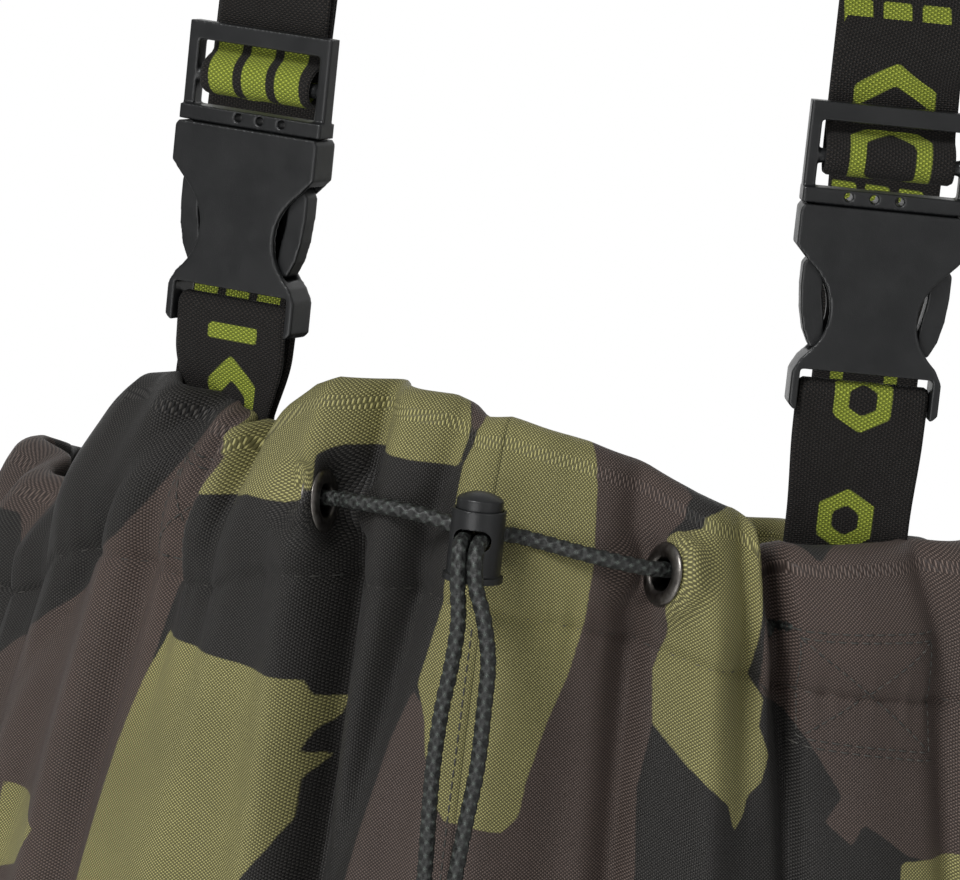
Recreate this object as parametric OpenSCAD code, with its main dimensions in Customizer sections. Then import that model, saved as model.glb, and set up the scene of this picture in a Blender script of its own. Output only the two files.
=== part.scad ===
// Chest waders hung by their braces, in millimetres.
// +Z is up, the front faces -Y, and the wearer's left is +X.
// The origin lies midway between the tops of the two braces, where a hanger or the shoulders carry them.
// Inside the file heights are counted from the soles, and place() lowers everything to the origin.

/* [Bib] */
// Half the width of the gathered hem
hem_half_w = 167; // [155:1:175]
// Half the depth of the gathered hem
hem_half_d = 112; // [106:1:116]
// Height of the front hem above the soles
hem_h = 1320; // [1300:5:1340]
// How much lower the back hem sits than the front
back_drop = 55; // [40:5:60]
// Thickness of the coated cloth
cloth = 1.6; // [1.2:0.1:2]
// Height of the sewn hem casing
casing_h = 46; // [44:1:50]

/* [Legs] */
// Height of the hip joint above the soles
hip_h = 830; // [820:5:840]
// Height of the knee joint above the soles
knee_h = 500; // [490:5:510]
// Distance of each leg's axis from the centre plane
leg_x = 107; // [107:0.5:108]

/* [Boots] */
// Height of the boot shaft
shaft_h = 330; // [320:2:340]
// Wall of the moulded boot
boot_wall = 4; // [3:0.5:5]

/* [Braces] */
// Width of the elastic webbing
web_w = 38; // [34:1:38]
// Thickness of the elastic webbing
web_t = 1.6; // [1.4:0.1:1.8]
// Distance of each front strap from the centre plane
strap_x = 95; // [92:1:98]
// Turn of each buckle away from straight ahead
strap_turn = 16; // [10:1:20]
// Height of the brace tops above the soles
hang_h = 1620; // [1600:5:1640]

/* [Buckles] */
// Length of the buckle housing
housing_l = 60; // [60:1:62]
// Thickness of the buckle housing
housing_t = 11.5; // [11.5:0.5:12.5]

/* [Drawcord] */
// Diameter of the braided drawcord
cord_d = 4.5; // [4:0.1:4.6]
// Radius of the hole through an eyelet
eyelet_r = 5; // [4.8:0.1:5.2]
// Travel of the cord lock's button
button_travel = 4; // [3:0.5:4]

/* [Hidden] */

olive_cloth = "#7f7c4c";
brown_cloth = "#54463f";
charcoal_cloth = "#33302e";
black_plastic = "#2a2c2c";
black_web = "#26221f";
boot_green = "#3d4233";

// Plan of the bib: a pointed oval at the hem that becomes a stadium above the legs.
hem_power = 1.7;
thigh_r = 106;
flat_share = 0.4;
chest_grow = 46;
stations = 14;
seam_gap = 0.15;

// Hips, knees and boots.
hip_ball_r = 103;
knee_ball_r = 80;
knee_clear = 0.6;
knee_back_cut = 25;
ankle_r = 66;
toe_out = 7;

// Hem casing profile.
tunnel = 6.4;
fold_w = tunnel + 2 * cloth;
fold_r = fold_w / 2;

// Straps and buckles, in a local frame: u across, v inwards, w up from the strap's base at the hem.
strap_y = -70;
strap_h = hem_h - 8;
housing_w0 = 18;
bar_w = 5;
bar_r = 2.2;
loop_in = bar_r + 0.25;
loop_out = loop_in + web_t;
strap_tail_w = -40;
mid_bar_w = 74;
leg_half = 22;
prong_t = 6.4;
cavity_t = 7.2;
hinge_u = 15;
hinge_w = 56;
knuckle_r = 2.2;

// Eyelets and cord lock.
left_eyelet_at = [50.4, -115.4];
right_eyelet_at = [52, -115];
left_eyelet_drop = 37.6;
right_eyelet_drop = 30.3;
left_eyelet_turn = -46;
right_eyelet_turn = -80;
flange_r = 9.4;
casing_cord_drop = 27;
casing_cord_from = 64;
lock_y = -141;
lock_h = hem_h - 30;
lock_r = 7.8;
plunger_r = 6;
cap_r = 6.7;
barrel_low = -12.4;
barrel_high = 8.4;

function clamp01(t) = min(1, max(0, t));
function smooth(t) = let (c = clamp01(t)) c * c * (3 - 2 * c);
function mix(a, b, t) = a + (b - a) * t;
function unit(p) = p / norm(p);
function eyelet_at(side) = side > 0 ? left_eyelet_at : right_eyelet_at;
function eyelet_height(side) = hem_h - (side > 0 ? left_eyelet_drop : right_eyelet_drop);

// Height of the hem fold at share s of a quarter, from the side (0) to the centre (1).
function hem_top(s, front) = hem_h - back_drop * (1 - (front ? 1 : -1) * sin(90 * s)) / 2;

// Plan points of one quarter, in the +X +Y quadrant.
function oval(s, a, b) = [a * pow(cos(90 * s), 2 / hem_power), b * pow(sin(90 * s), 2 / hem_power)];
function stadium(s) = s < 1 - flat_share
    ? let (u = 90 * s / (1 - flat_share)) [leg_x + thigh_r * cos(u), thigh_r * sin(u)]
    : [leg_x * (1 - s) / flat_share, thigh_r];
function plan(s, h) =
    let (
        flare = smooth((hem_h - h) / 250),
        puff = 12 * smooth((hem_h - h) / 45),
        low = smooth((1130 - h) / (1130 - hip_h)),
        a = hem_half_w + puff + chest_grow * 0.75 * flare,
        b = hem_half_d + puff * 0.8 + 8 * flare
    )
    mix(oval(s, a, b), stadium(s), low);
function inward(s, h) =
    let (
        e = 0.004,
        s0 = min(1 - e, max(e, s)),
        t = plan(s0 + e, h) - plan(s0 - e, h),
        n = unit([-t.y, t.x])
    )
    s < e ? [-1, 0] : s > 1 - e ? [0, -1] : n;

// Wall profile from the bottom of the outer face, over the fold, and back down the inner face.
// Each entry is [offset inwards, drop below the hem], and drops past the casing are shares of the wall.
wall_steps = 11;
function wall_drop(i, s, front) = mix(casing_h + 6, hem_top(s, front) - hip_h, i / wall_steps);
function profile(s, front) = concat(
    [for (i = [wall_steps:-1:0]) [0, wall_drop(i, s, front)]],
    [[0, casing_h * 0.6], [0, casing_h * 0.3]],
    [for (a = [180:-45:0]) [fold_r + fold_r * cos(a), fold_r - fold_r * sin(a)]],
    [[fold_w, casing_h * 0.75], [cloth + 2, casing_h], [cloth + 0.4, casing_h + 0.4]],
    [[fold_w - cloth, casing_h * 0.75 + 0.8]],
    [for (a = [0:45:180]) [fold_r + (fold_r - cloth) * cos(a), fold_r - (fold_r - cloth) * sin(a)]],
    [[cloth, casing_h * 0.6]],
    [for (i = [0:wall_steps]) [cloth, wall_drop(i, s, front)]]
);
function wall_point(s, entry, front) =
    let (
        h = hem_top(s, front) - entry[1],
        p = plan(s, h) + inward(s, h) * entry[0]
    )
    [max(seam_gap, p.x), max(seam_gap, p.y), h];

// Triangles across a ring that starts at point first, in a strip between its two halves.
function cap(first, n) = [for (i = [0:ceil(n / 2) - 2])
    let (a = first + i, b = a + 1, c = first + n - 1 - i, d = c - 1)
    each (b == d ? [[a, b, c]] : [[a, b, d], [a, d, c]])];

// Closed polyhedron from rings of equal length.
module skin(rings) {
    n = len(rings[0]);
    m = len(rings);
    points = [for (r = rings) each r];
    sides = [for (j = [0:m - 2]) for (i = [0:n - 1])
        let (a = j * n + i, b = j * n + (i + 1) % n)
        each [[a, b, b + n], [a, b + n, a + n]]];
    start = [for (t = cap(0, n)) [t[2], t[1], t[0]]];
    polyhedron(points, concat(sides, start, cap((m - 1) * n, n)), convexity = 10);
}

module place() {
    translate([0, 0, -hang_h]) children();
}

module mirrored(side) {
    mirror([side < 0 ? 1 : 0, 0, 0]) children();
}

// One quarter of the bib, made in the +X +Y quadrant and turned to its place.
module bib_quarter(side, front) {
    mirror([side < 0 ? 1 : 0, 0, 0])
        mirror([0, front ? 1 : 0, 0])
            skin([for (k = [0:stations]) [for (e = profile(k / stations, front)) wall_point(k / stations, e, front)]]);
}

// Room for an eyelet, its washer and the cord that comes out of it.
module eyelet_room(side) {
    room_h = side > 0 ? 12 : 14;
    at_eyelet(side) translate([0, 0, -4.6]) cylinder(r = flange_r + 0.5, h = room_h, $fn = 48);
}

// Flank of the fold that an eyelet is set in.
module eyelet_flank(side) {
    flank_r = 12.9;
    at_eyelet(side)
        translate([0, 0, -1.9])
            difference() {
                cylinder(r = flank_r, h = cloth, $fn = 64);
                translate([0, 0, -1]) cylinder(r = eyelet_r + 1.1, h = cloth + 2, $fn = 48);
            }
}

module cord_exit(side) {
    route = side > 0 ? cord_route_left : cord_route_right;
    mirrored(side)
        tube([front_run[0], run_end(route), route[1] + [0.3, 0.2, hem_h]], cord_d / 2 + 0.9);
}

module bib_front(side) {
    color(side > 0 ? olive_cloth : charcoal_cloth)
        difference() {
            union() {
                difference() {
                    bib_quarter(side, true);
                    eyelet_room(side);
                }
                eyelet_flank(side);
            }
            cord_exit(side);
            // Slot in the facing for the strap's sewn end.
            at_strap(side) loop_legs(loop_out + 0.3, housing_w0 + bar_w, web_t + 0.5, strap_tail_w - 0.5, web_w + 0.6);
        }
}

module bib_back(side) {
    color(brown_cloth) bib_quarter(side, false);
}

// Diamond of cloth sewn in between the legs, at the bottom of the bib.
module crotch_gusset() {
    gusset_t = 4;
    gusset_half = 88;
    color(charcoal_cloth)
        translate([0, 0, hip_h])
            linear_extrude(gusset_t)
                difference() {
                    square([2 * gusset_half, 2 * (thigh_r - cloth - 0.3)], center = true);
                    for (side = [-1, 1])
                        translate([side * leg_x, 0]) circle(r = hip_ball_r + knee_clear, $fn = 96);
                }
}

// Local frame of an eyelet: +Z points out of the cloth.
module at_eyelet(side) {
    mirrored(side)
        translate([eyelet_at(side).x, eyelet_at(side).y, eyelet_height(side)])
            rotate([0, 0, side > 0 ? left_eyelet_turn : right_eyelet_turn])
                rotate([90, 0, 0])
                    rotate([-8, 0, 0])
                        children();
}

module eyelet(side) {
    color("#6d6a66")
        at_eyelet(side)
            translate([0, 0, 0.2])
                rotate_extrude($fn = 64)
                    union() {
                        translate([eyelet_r, -3.4]) square([0.8, 4.4]);
                        translate([eyelet_r, 0]) square([flange_r - eyelet_r - 0.8, 1]);
                        translate([flange_r - 0.9, 0.5]) circle(r = 0.5, $fn = 24);
                    }
}

module eyelet_washer(side) {
    color("#6d6a66")
        at_eyelet(side)
            translate([0, 0, -3])
                rotate_extrude($fn = 64)
                    translate([eyelet_r + 0.85, 0]) square([3.4, 0.8]);
}

// Round tube along a list of points.
function tangent(p, i) = unit(p[min(len(p) - 1, i + 1)] - p[max(0, i - 1)]);
function ring_at(c, t, r, sides) =
    let (
        hint = abs(t.z) < 0.9 ? [0, 0, 1] : [0, 1, 0],
        u = unit(cross(hint, t)),
        v = cross(t, u)
    )
    [for (k = [0:sides - 1]) c + r * (u * cos(360 * k / sides) + v * sin(360 * k / sides))];
module tube(route, r, sides = 8) {
    skin([for (i = [0:len(route) - 1]) ring_at(route[i], tangent(route, i), r, sides)]);
}

// Smooth curve through hand-placed points.
function spline(p, i, t) =
    let (
        a = p[max(0, i - 1)],
        b = p[i],
        c = p[i + 1],
        d = p[min(len(p) - 1, i + 2)]
    )
    0.5 * (2 * b + (c - a) * t + (2 * a - 5 * b + 4 * c - d) * t * t + (3 * b - a - 3 * c + d) * t * t * t);
function smooth_route(p, parts) = concat(
    [for (i = [0:len(p) - 2]) for (k = [0:parts - 1]) spline(p, i, k / parts)],
    [p[len(p) - 1]]
);

// Free run of the drawcord on the wearer's left: out of the eyelet, through the lock, down to its knot.
// Heights are drops below the front hem.
cord_route_left = [
    [53.2, -112.7, -36.6], [50.4, -115.4, -36.2], [46, -119.3, -35.7], [38, -123.5, -34.4], [27, -126, -32.8],
    [16, -127, -31.2], [9.5, -127.8, -30.3], [5.4, -129.4, -30], [3.1, -132, -30], [2.5, -136, -30],
    [2.5, -142, -30], [2.5, -148, -30.2], [2.7, -152, -31.6], [3.2, -154.4, -36], [4.4, -155.2, -42],
    [7.6, -156, -50], [10.4, -156.8, -62], [10.8, -157.6, -76], [10.8, -158.4, -92], [9.6, -159.2, -106],
    [8.4, -159.8, -120], [7.4, -160.4, -140], [7.8, -160.8, -175], [8.4, -161, -210], [8.6, -161.2, -240]
];
cord_route_right = [
    [56.3, -114.2, -29.9], [52, -115, -29.4], [46.8, -116.8, -28.9], [40.5, -121, -28.3], [27, -125.6, -27.8],
    [16, -127, -28.7], [9.5, -127.8, -29.7], [5.4, -129.4, -30], [3.1, -132, -30], [2.5, -136, -30],
    [2.5, -142, -30], [2.5, -148, -30.2], [2.3, -152, -31.6], [1.6, -154.4, -36], [1, -155.2, -42],
    [-0.4, -156, -52], [0, -156.8, -64], [1.4, -157.6, -78], [1.9, -158.4, -94], [1.5, -159.2, -108],
    [0.8, -159.8, -124], [0.4, -160.4, -145], [0.8, -160.8, -175], [1.2, -161, -205], [1.2, -161.2, -228]
];

module free_cord(side) {
    color("#1c1d1c")
        mirrored(side)
            translate([0, 0, hem_h])
                tube(smooth_route(side > 0 ? cord_route_left : cord_route_right, 3), cord_d / 2);
}

module cord_knot(side) {
    route = side > 0 ? cord_route_left : cord_route_right;
    knot_r = 4.6;
    color("#1c1d1c")
        mirrored(side)
            translate(route[len(route) - 1] + [0, 0, hem_h - knot_r + 0.4])
                difference() {
                    union() {
                        sphere(r = knot_r, $fn = 32);
                        translate([0, 0, -knot_r - 4]) cylinder(r = cord_d / 2, h = 6, $fn = 24);
                    }
                    translate([0, 0, knot_r - 0.9]) cylinder(r = knot_r, h = 3, $fn = 24);
                }
}

// Hidden run of the drawcord, round inside the casing from one eyelet to the other.
casing_cord_in = fold_r;
function quarter_run(front) = [for (k = [0:12])
    let (s = k / 12, h = hem_top(s, front) - casing_cord_drop, p = plan(s, h) + inward(s, h) * casing_cord_in)
    [p.x, front ? -p.y : p.y, h]];
side_to_front = [for (p = quarter_run(true)) if (p.x > casing_cord_from) p];
front_run = [for (i = [len(side_to_front) - 1:-1:1]) side_to_front[i]];
half_run = concat(front_run, quarter_run(false));
function run_end(route) = route[0] + [0, 0, hem_h];

function casing_end(route) = run_end(route) + 0.4 * unit(route[0] - route[1]);

module drawcord_in_casing() {
    other_half = [for (i = [len(half_run) - 2:-1:0]) [-half_run[i].x, half_run[i].y, half_run[i].z]];
    right_end = casing_end(cord_route_right);
    color("#1c1d1c")
        tube(concat([casing_end(cord_route_left)], half_run, other_half, [[-right_end.x, right_end.y, right_end.z]]),
            cord_d / 2);
}

// Spring-loaded cord lock. Both cords run through its slot from back to front.
slot_half_u = 5.5;
slot_half_w = 3;
module lock_slot(up) {
    slot_l = 30;
    rotate([90, 0, 0])
        linear_extrude(slot_l, center = true)
            union() {
                translate([-slot_half_u + slot_half_w, -slot_half_w])
                    square([2 * (slot_half_u - slot_half_w), 2 * slot_half_w + up]);
                for (u = [-1, 1])
                    for (w = [0, up])
                        translate([u * (slot_half_u - slot_half_w), w]) circle(r = slot_half_w, $fn = 32);
                translate([-slot_half_u, 0]) square([2 * slot_half_u, max(up, 0.01)]);
            }
}

module cord_lock_barrel() {
    floor_t = 1.2;
    skirt_t = 2;
    color(black_plastic)
        translate([0, lock_y, lock_h])
            difference() {
                union() {
                    translate([0, 0, barrel_low])
                        cylinder(r = lock_r, h = barrel_high - barrel_low, $fn = 64);
                    translate([0, 0, barrel_low]) cylinder(r = lock_r + 0.9, h = skirt_t, $fn = 64);
                }
                translate([0, 0, barrel_low + floor_t])
                    cylinder(r = plunger_r + 0.2, h = barrel_high - barrel_low, $fn = 64);
                translate([0, 0, barrel_high - button_travel - 0.9])
                    cylinder(r = cap_r + 0.2, h = button_travel + 2, $fn = 64);
                lock_slot(0);
            }
}

module cord_lock_button() {
    plunger_low = -5;
    cap_low = barrel_high - 0.6;
    cap_top = barrel_high + 5;
    dome_r = 12;
    color(black_plastic)
        translate([0, lock_y, lock_h])
            difference() {
                union() {
                    translate([0, 0, plunger_low]) cylinder(r = plunger_r, h = cap_low + 1 - plunger_low, $fn = 64);
                    intersection() {
                        translate([0, 0, cap_low]) cylinder(r = cap_r, h = cap_top - cap_low, $fn = 64);
                        translate([0, 0, cap_top - dome_r]) sphere(r = dome_r, $fn = 96);
                    }
                }
                lock_slot(button_travel);
            }
}

module cord_lock_spring() {
    wire_r = 0.45;
    coil_r = 4.4;
    turns = 3;
    coil_low = barrel_low + 1.75;
    coil_high = -5.6;
    steps = 42;
    color("#b8bab8")
        translate([0, lock_y, lock_h])
            tube([for (k = [0:steps])
                [coil_r * cos(360 * turns * k / steps), coil_r * sin(360 * turns * k / steps),
                    mix(coil_low, coil_high, k / steps)]], wire_r, 8);
}

// Local frame of a strap on the wearer's left: u across, v inwards, w up.
module at_strap(side) {
    mirrored(side)
        translate([strap_x, strap_y, strap_h])
            rotate([0, 0, strap_turn])
                children();
}

// Solid from an outline drawn in the u-w plane, centred on v = 0.
module flat_part(t) {
    rotate([90, 0, 0]) linear_extrude(t, center = true) children();
}

// Round end and tapering legs of a webbing loop that runs across the strap.
module loop_tube(r, w, width) {
    translate([0, 0, w]) rotate([0, 90, 0]) cylinder(r = r, h = width, center = true, $fn = 48);
}

module loop_legs(top_half, top_w, low_half, low_w, width) {
    rotate([0, 0, 90])
        flat_part(width)
            polygon([[-top_half + 0.02, top_w], [top_half - 0.02, top_w], [low_half, low_w], [-low_half, low_w]]);
}

// Doubled webbing sewn inside the hem and looped round the housing's bar.
module front_strap(side) {
    loop_w = housing_w0 + bar_w;
    color(black_web)
        at_strap(side)
            difference() {
                union() {
                    loop_tube(loop_out, loop_w, web_w);
                    loop_legs(loop_out, loop_w, web_t + 0.2, strap_tail_w, web_w);
                }
                loop_tube(loop_in, loop_w, web_w + 2);
                loop_legs(loop_in, loop_w, 0.2, strap_tail_w + 2, web_w + 2);
            }
}

// Half outline of the housing, from the top centre round to the fork.
mouth_half = 24.7;
waist_half = 12.9;
function waist_arc(from, to, steps) = [for (k = [0:steps])
    let (t = k / steps, w = mix(from, to, t))
    [waist_half + 7.6 * pow(abs(w - 29) / 14.5, 2.2), w]];
half_outline = concat(
    [[0, housing_l], [mouth_half - 1, housing_l], [mouth_half, housing_l - 1.5], [mouth_half, 48]],
    waist_arc(43.5, 15, 12),
    [[leg_half, 11], [leg_half, 1.5], [leg_half - 1.5, 0], [0, 0]]
);
module housing_outline() {
    for (u = [0, 1])
        mirror([u, 0]) polygon(half_outline);
}

module buckle_housing(side) {
    fork_half = web_w / 2 + 0.5;
    wall_u = 2.4;
    color(black_plastic)
        at_strap(side)
            translate([0, 0, housing_w0])
                difference() {
                    union() {
                        difference() {
                            flat_part(housing_t) housing_outline();
                            // Strap slot between the fork's legs, below the plates.
                            translate([-fork_half, -housing_t, -1]) cube([2 * fork_half, 2 * housing_t, 13]);
                        }
                        translate([-leg_half + 1, 0, bar_w])
                            rotate([0, 90, 0]) cylinder(r = bar_r, h = 2 * leg_half - 2, $fn = 32);
                    }
                    // Mouth that takes the male frame.
                    translate([-mouth_half + wall_u, -cavity_t / 2, 17])
                        cube([2 * (mouth_half - wall_u), cavity_t, housing_l]);
                    // Side windows that show the finger pads.
                    translate([-leg_half - 5, -cavity_t / 2, 17])
                        cube([2 * leg_half + 10, cavity_t, 26.5]);
                }
}

// Adjuster frame with its guide tongue. The webbing goes over the middle bar.
module buckle_frame(side) {
    frame_half = 24.5;
    rail = 3.6;
    frame_t = 5;
    base_half = 20;
    base_t = cavity_t - 0.4;
    plate_top = 65;
    frame_top = 90;
    color(black_plastic)
        at_strap(side)
            translate([0, 0, housing_w0])
                union() {
                    flat_part(base_t)
                        difference() {
                            union() {
                                translate([-base_half, 53.5]) square([2 * base_half, 8]);
                                translate([-3.5, 24]) square([7, 30]);
                                translate([0, 24]) circle(r = 3.5, $fn = 32);
                            }
                            for (u = [-1, 1]) {
                                translate([u * hinge_u, hinge_w]) circle(r = knuckle_r + 0.2, $fn = 48);
                                translate([u * hinge_u - 3, 53]) square([6, 2.5]);
                            }
                        }
                    difference() {
                        flat_part(housing_t - 3)
                            translate([-frame_half, housing_l + 0.4]) square([2 * frame_half, plate_top - housing_l - 0.4]);
                        for (u = [-11, -3.5, 4])
                            translate([u, 0, 63]) rotate([90, 0, 0]) cylinder(r = 1.3, h = 20, center = true, $fn = 24);
                    }
                    for (u = [-frame_half, frame_half - rail])
                        translate([u, -frame_t / 2, plate_top - 0.5]) cube([rail, frame_t, frame_top - plate_top + 0.5]);
                    translate([-frame_half, -frame_t / 2, frame_top - 5.5]) cube([2 * frame_half, frame_t, 5.5]);
                    translate([-frame_half + 1, 0, mid_bar_w])
                        rotate([0, 90, 0]) cylinder(r = bar_r, h = 2 * frame_half - 2, $fn = 32);
                }
}

// Springy arm with its finger pad. dir is 1 away from the centre plane and -1 towards it.
module prong(side, dir) {
    color(black_plastic)
        at_strap(side)
            mirror([dir < 0 ? 1 : 0, 0, 0])
                translate([0, 0, housing_w0])
                    union() {
                        translate([hinge_u, 0, hinge_w])
                            rotate([90, 0, 0]) cylinder(r = knuckle_r, h = prong_t, center = true, $fn = 32);
                        flat_part(prong_t)
                            polygon([[hinge_u - 1.8, hinge_w], [hinge_u + 1.8, hinge_w], [19.4, 46],
                                [21.9, 42.5], [21.9, 36], [21.2, 29], [19.8, 23], [17.6, 18.5], [15.2, 17.6],
                                [13.6, 19], [13.8, 25], [15.4, 34], [15.8, 42]]);
                    }
}

// Elastic brace: over the adjuster's middle bar, up over the shoulder and straight down to the back hem.
// A path point is [u, v, w] in the strap's frame for the first list, and world x, y, h for the second.
adjuster_path = [
    [7.2, 150], [6.9, 120], [6.4, 92], [6.2, 82], [5.6, 75], [3.6, 70.4], [0.6, 69.3], [-2.4, 71],
    [-3.4, 74], [-2.6, 77.2], [-0.2, 79.4], [2.6, 81], [3.9, 84], [4.2, 90], [4.3, 100]
];
rise_path = [[95, -62, 1450], [94, -56, 1490], [91, -44, 1550], [88, -26, 1599], [86, -12, 1615], [85, 0, 1620]];
left_back_path = [
    [84.5, 12, 1616], [83, 28, 1600], [80, 48, 1560], [77, 62, 1510], [74.4, 70, 1460], [74, 73, 1420],
    [74.2, 74, 1380], [75, 73.5, 1340], [75.4, 72, 1300], [75.5, 71, 1265], [75.5, 71, 1222]
];
right_back_path = [
    [88, 10, 1616.5], [96, 26, 1602], [110, 46, 1562], [121, 62, 1512], [128, 72, 1460], [128.4, 70, 1420],
    [128.4, 66, 1380], [129, 60, 1340], [128.4, 53, 1300], [128, 46.5, 1265], [127.5, 46, 1222]
];
left_back_turn = 20;
right_back_turn = 43;
function strap_world(p) =
    let (c = cos(strap_turn), s = sin(strap_turn))
    [strap_x - p[0] * s, strap_y + p[0] * c, strap_h + housing_w0 + p[1]];

function ribbon_ring(c, t, w, half_w, half_t) =
    let (n = unit(cross(w, t)))
    [c - w * half_w - n * half_t, c + w * half_w - n * half_t, c + w * half_w + n * half_t,
        c - w * half_w + n * half_t];
module ribbon(route, widths, half_w, half_t) {
    skin([for (i = [0:len(route) - 1]) ribbon_ring(route[i], tangent(route, i), widths[i], half_w, half_t)]);
}

module brace(side) {
    back_turn = side > 0 ? left_back_turn : right_back_turn;
    front = [for (p = adjuster_path) strap_world(p)];
    route = concat(front, smooth_route(concat(rise_path, side > 0 ? left_back_path : right_back_path), 2));
    strap_across = [cos(strap_turn), sin(strap_turn), 0];
    widths = [for (i = [0:len(route) - 1])
        let (
            t = tangent(route, i),
            p = route[i],
            a = back_turn * smooth((1500 - p.z) / 200),
            across = p.y < 5 ? mix(strap_across, [1, 0, 0], smooth((p.z - 1450) / 160)) : [cos(a), -sin(a), 0]
        )
        i < len(front) ? strap_across : unit(across - t * (across * t))];
    color(black_web) mirrored(side) ribbon(route, widths, web_w / 2, web_t / 2);
}

// Leg from the hip ball to the knee. The back of its lower edge is cut away for the knee to fold.
module leg_upper(side) {
    low = knee_h - hip_h;
    ball = [for (a = [18:-9:-27]) [hip_ball_r * cos(a), hip_ball_r * sin(a)]];
    outer = concat(ball, [[86, -200], [knee_ball_r + knee_clear + 2.5, low + 60], [knee_ball_r + knee_clear + 2.5, low]]);
    inner = [for (i = [len(outer) - 1:-1:0]) [outer[i].x - 2.5, outer[i].y]];
    color(side > 0 ? brown_cloth : olive_cloth)
        mirrored(side)
            translate([leg_x, 0, hip_h])
                difference() {
                    rotate_extrude($fn = 72) polygon(concat(outer, inner));
                    translate([-150, 0, low]) rotate([knee_back_cut, 0, 0]) translate([0, 0, -100]) cube([300, 200, 100]);
                }
}

module leg_lower(side) {
    low = shaft_h - 30 - knee_h;
    ball = [for (a = [48:-8:-32]) [knee_ball_r * cos(a), knee_ball_r * sin(a)]];
    outer = concat(ball, [[72, -110], [ankle_r + 2.9, low + 12], [ankle_r + 2.9, low]]);
    inner = [for (i = [len(outer) - 1:-1:0]) [outer[i].x - 2.5, outer[i].y]];
    color(side > 0 ? charcoal_cloth : brown_cloth)
        mirrored(side)
            translate([leg_x, 0, knee_h])
                rotate_extrude($fn = 72) polygon(concat(outer, inner));
}

// Local frame of a boot: the leg's axis, with the toe turned out.
module at_boot(side) {
    mirrored(side) translate([leg_x, 0, 0]) rotate([0, 0, toe_out]) children();
}

module foot_form(grow) {
    hull() {
        translate([0, 34, 22 - grow]) cylinder(r = 38 + grow, h = 60 + 2 * grow, $fn = 40);
        translate([0, 4, 22 - grow]) cylinder(r = ankle_r - 7.6 + grow, h = 100 + 2 * grow, $fn = 40);
        translate([2, -150, 22 - grow]) cylinder(r = 46 + grow, h = 16 + 2 * grow, $fn = 40);
        translate([2, -150, 42]) scale([1, 1, 0.42]) sphere(r = 44 + grow, $fn = 24);
    }
}

module boot_upper(side) {
    ankle_h = 100;
    color(boot_green)
        at_boot(side)
            difference() {
                union() {
                    foot_form(0);
                    translate([0, 0, ankle_h])
                        rotate_extrude($fn = 72)
                            polygon([[0, 0], [58, 0], [60, 60], [ankle_r, 170], [ankle_r, shaft_h - ankle_h],
                                [0, shaft_h - ankle_h]]);
                }
                difference() {
                    foot_form(-boot_wall);
                    translate([-100, -250, 0]) cube([200, 400, 22 + boot_wall]);
                }
                translate([0, 0, ankle_h - 10])
                    rotate_extrude($fn = 72)
                        polygon([[0, 0], [58 - boot_wall, 0], [60 - boot_wall, 70], [ankle_r - boot_wall, 180],
                            [ankle_r - boot_wall, shaft_h], [0, shaft_h]]);
            }
}

module sole_slab(grow, t) {
    union() {
        translate([0, 34, 0]) cylinder(r = 38 + grow, h = t, $fn = 64);
        translate([2, -150, 0]) cylinder(r = 48 + grow, h = t, $fn = 64);
        linear_extrude(t)
            polygon([[-37 - grow, 30], [37 + grow, 30], [36 + grow, -40], [48 + grow, -146], [-44 - grow, -146],
                [-36 - grow, -40]]);
    }
}

module boot_sole(side) {
    sole_t = 21.8;
    groove = 5;
    pitch = 15;
    color("#23241f")
        at_boot(side)
            difference() {
                sole_slab(2.5, sole_t);
                // Arch between the heel block and the forepart.
                translate([-80, -44, -1]) cube([160, 40, 11]);
                for (k = [0:8])
                    translate([-80, -190 + k * pitch, -1]) cube([160, groove, 6]);
                for (k = [0:3])
                    translate([-80, 14 + k * pitch, -1]) cube([160, groove, 6]);
            }
}

module boot_insole(side) {
    color("#6a6a62")
        at_boot(side)
            translate([0, 0, 22 + boot_wall + 0.2])
                sole_slab(-boot_wall - 4, 5);
}

module boot_seam_tape(side) {
    low = shaft_h - 46;
    color("#2f332a")
        mirrored(side)
            translate([leg_x, 0, low])
                rotate_extrude($fn = 72)
                    polygon([[ankle_r + 0.1, 0], [ankle_r + 2, 0], [ankle_r + 5, 4], [ankle_r + 5, 32],
                        [ankle_r + 3.4, 32], [ankle_r + 3.4, 15.6], [ankle_r + 0.1, 15.6]]);
}

place() bib_front(1);  // bib_front_left
place() bib_front(-1);  // bib_front_right
place() bib_back(1);  // bib_back_left
place() bib_back(-1);  // bib_back_right
place() crotch_gusset();
place() eyelet(1);  // eyelet_left
place() eyelet(-1);  // eyelet_right
place() eyelet_washer(1);  // eyelet_washer_left
place() eyelet_washer(-1);  // eyelet_washer_right
place() drawcord_in_casing();
place() free_cord(1);  // drawcord_left
place() free_cord(-1);  // drawcord_right
place() cord_knot(1);  // drawcord_knot_left
place() cord_knot(-1);  // drawcord_knot_right
place() cord_lock_barrel();
place() cord_lock_button();
place() cord_lock_spring();
place() front_strap(1);  // front_strap_left
place() front_strap(-1);  // front_strap_right
place() buckle_housing(1);  // buckle_housing_left
place() buckle_housing(-1);  // buckle_housing_right
place() buckle_frame(1);  // buckle_frame_left
place() buckle_frame(-1);  // buckle_frame_right
place() prong(1, 1);  // prong_outer_left
place() prong(-1, 1);  // prong_outer_right
place() prong(1, -1);  // prong_inner_left
place() prong(-1, -1);  // prong_inner_right
place() brace(1);  // brace_left
place() brace(-1);  // brace_right
place() leg_upper(1);  // leg_upper_left
place() leg_upper(-1);  // leg_upper_right
place() leg_lower(1);  // leg_lower_left
place() leg_lower(-1);  // leg_lower_right
place() boot_upper(1);  // boot_upper_left
place() boot_upper(-1);  // boot_upper_right
place() boot_sole(1);  // boot_sole_left
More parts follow.
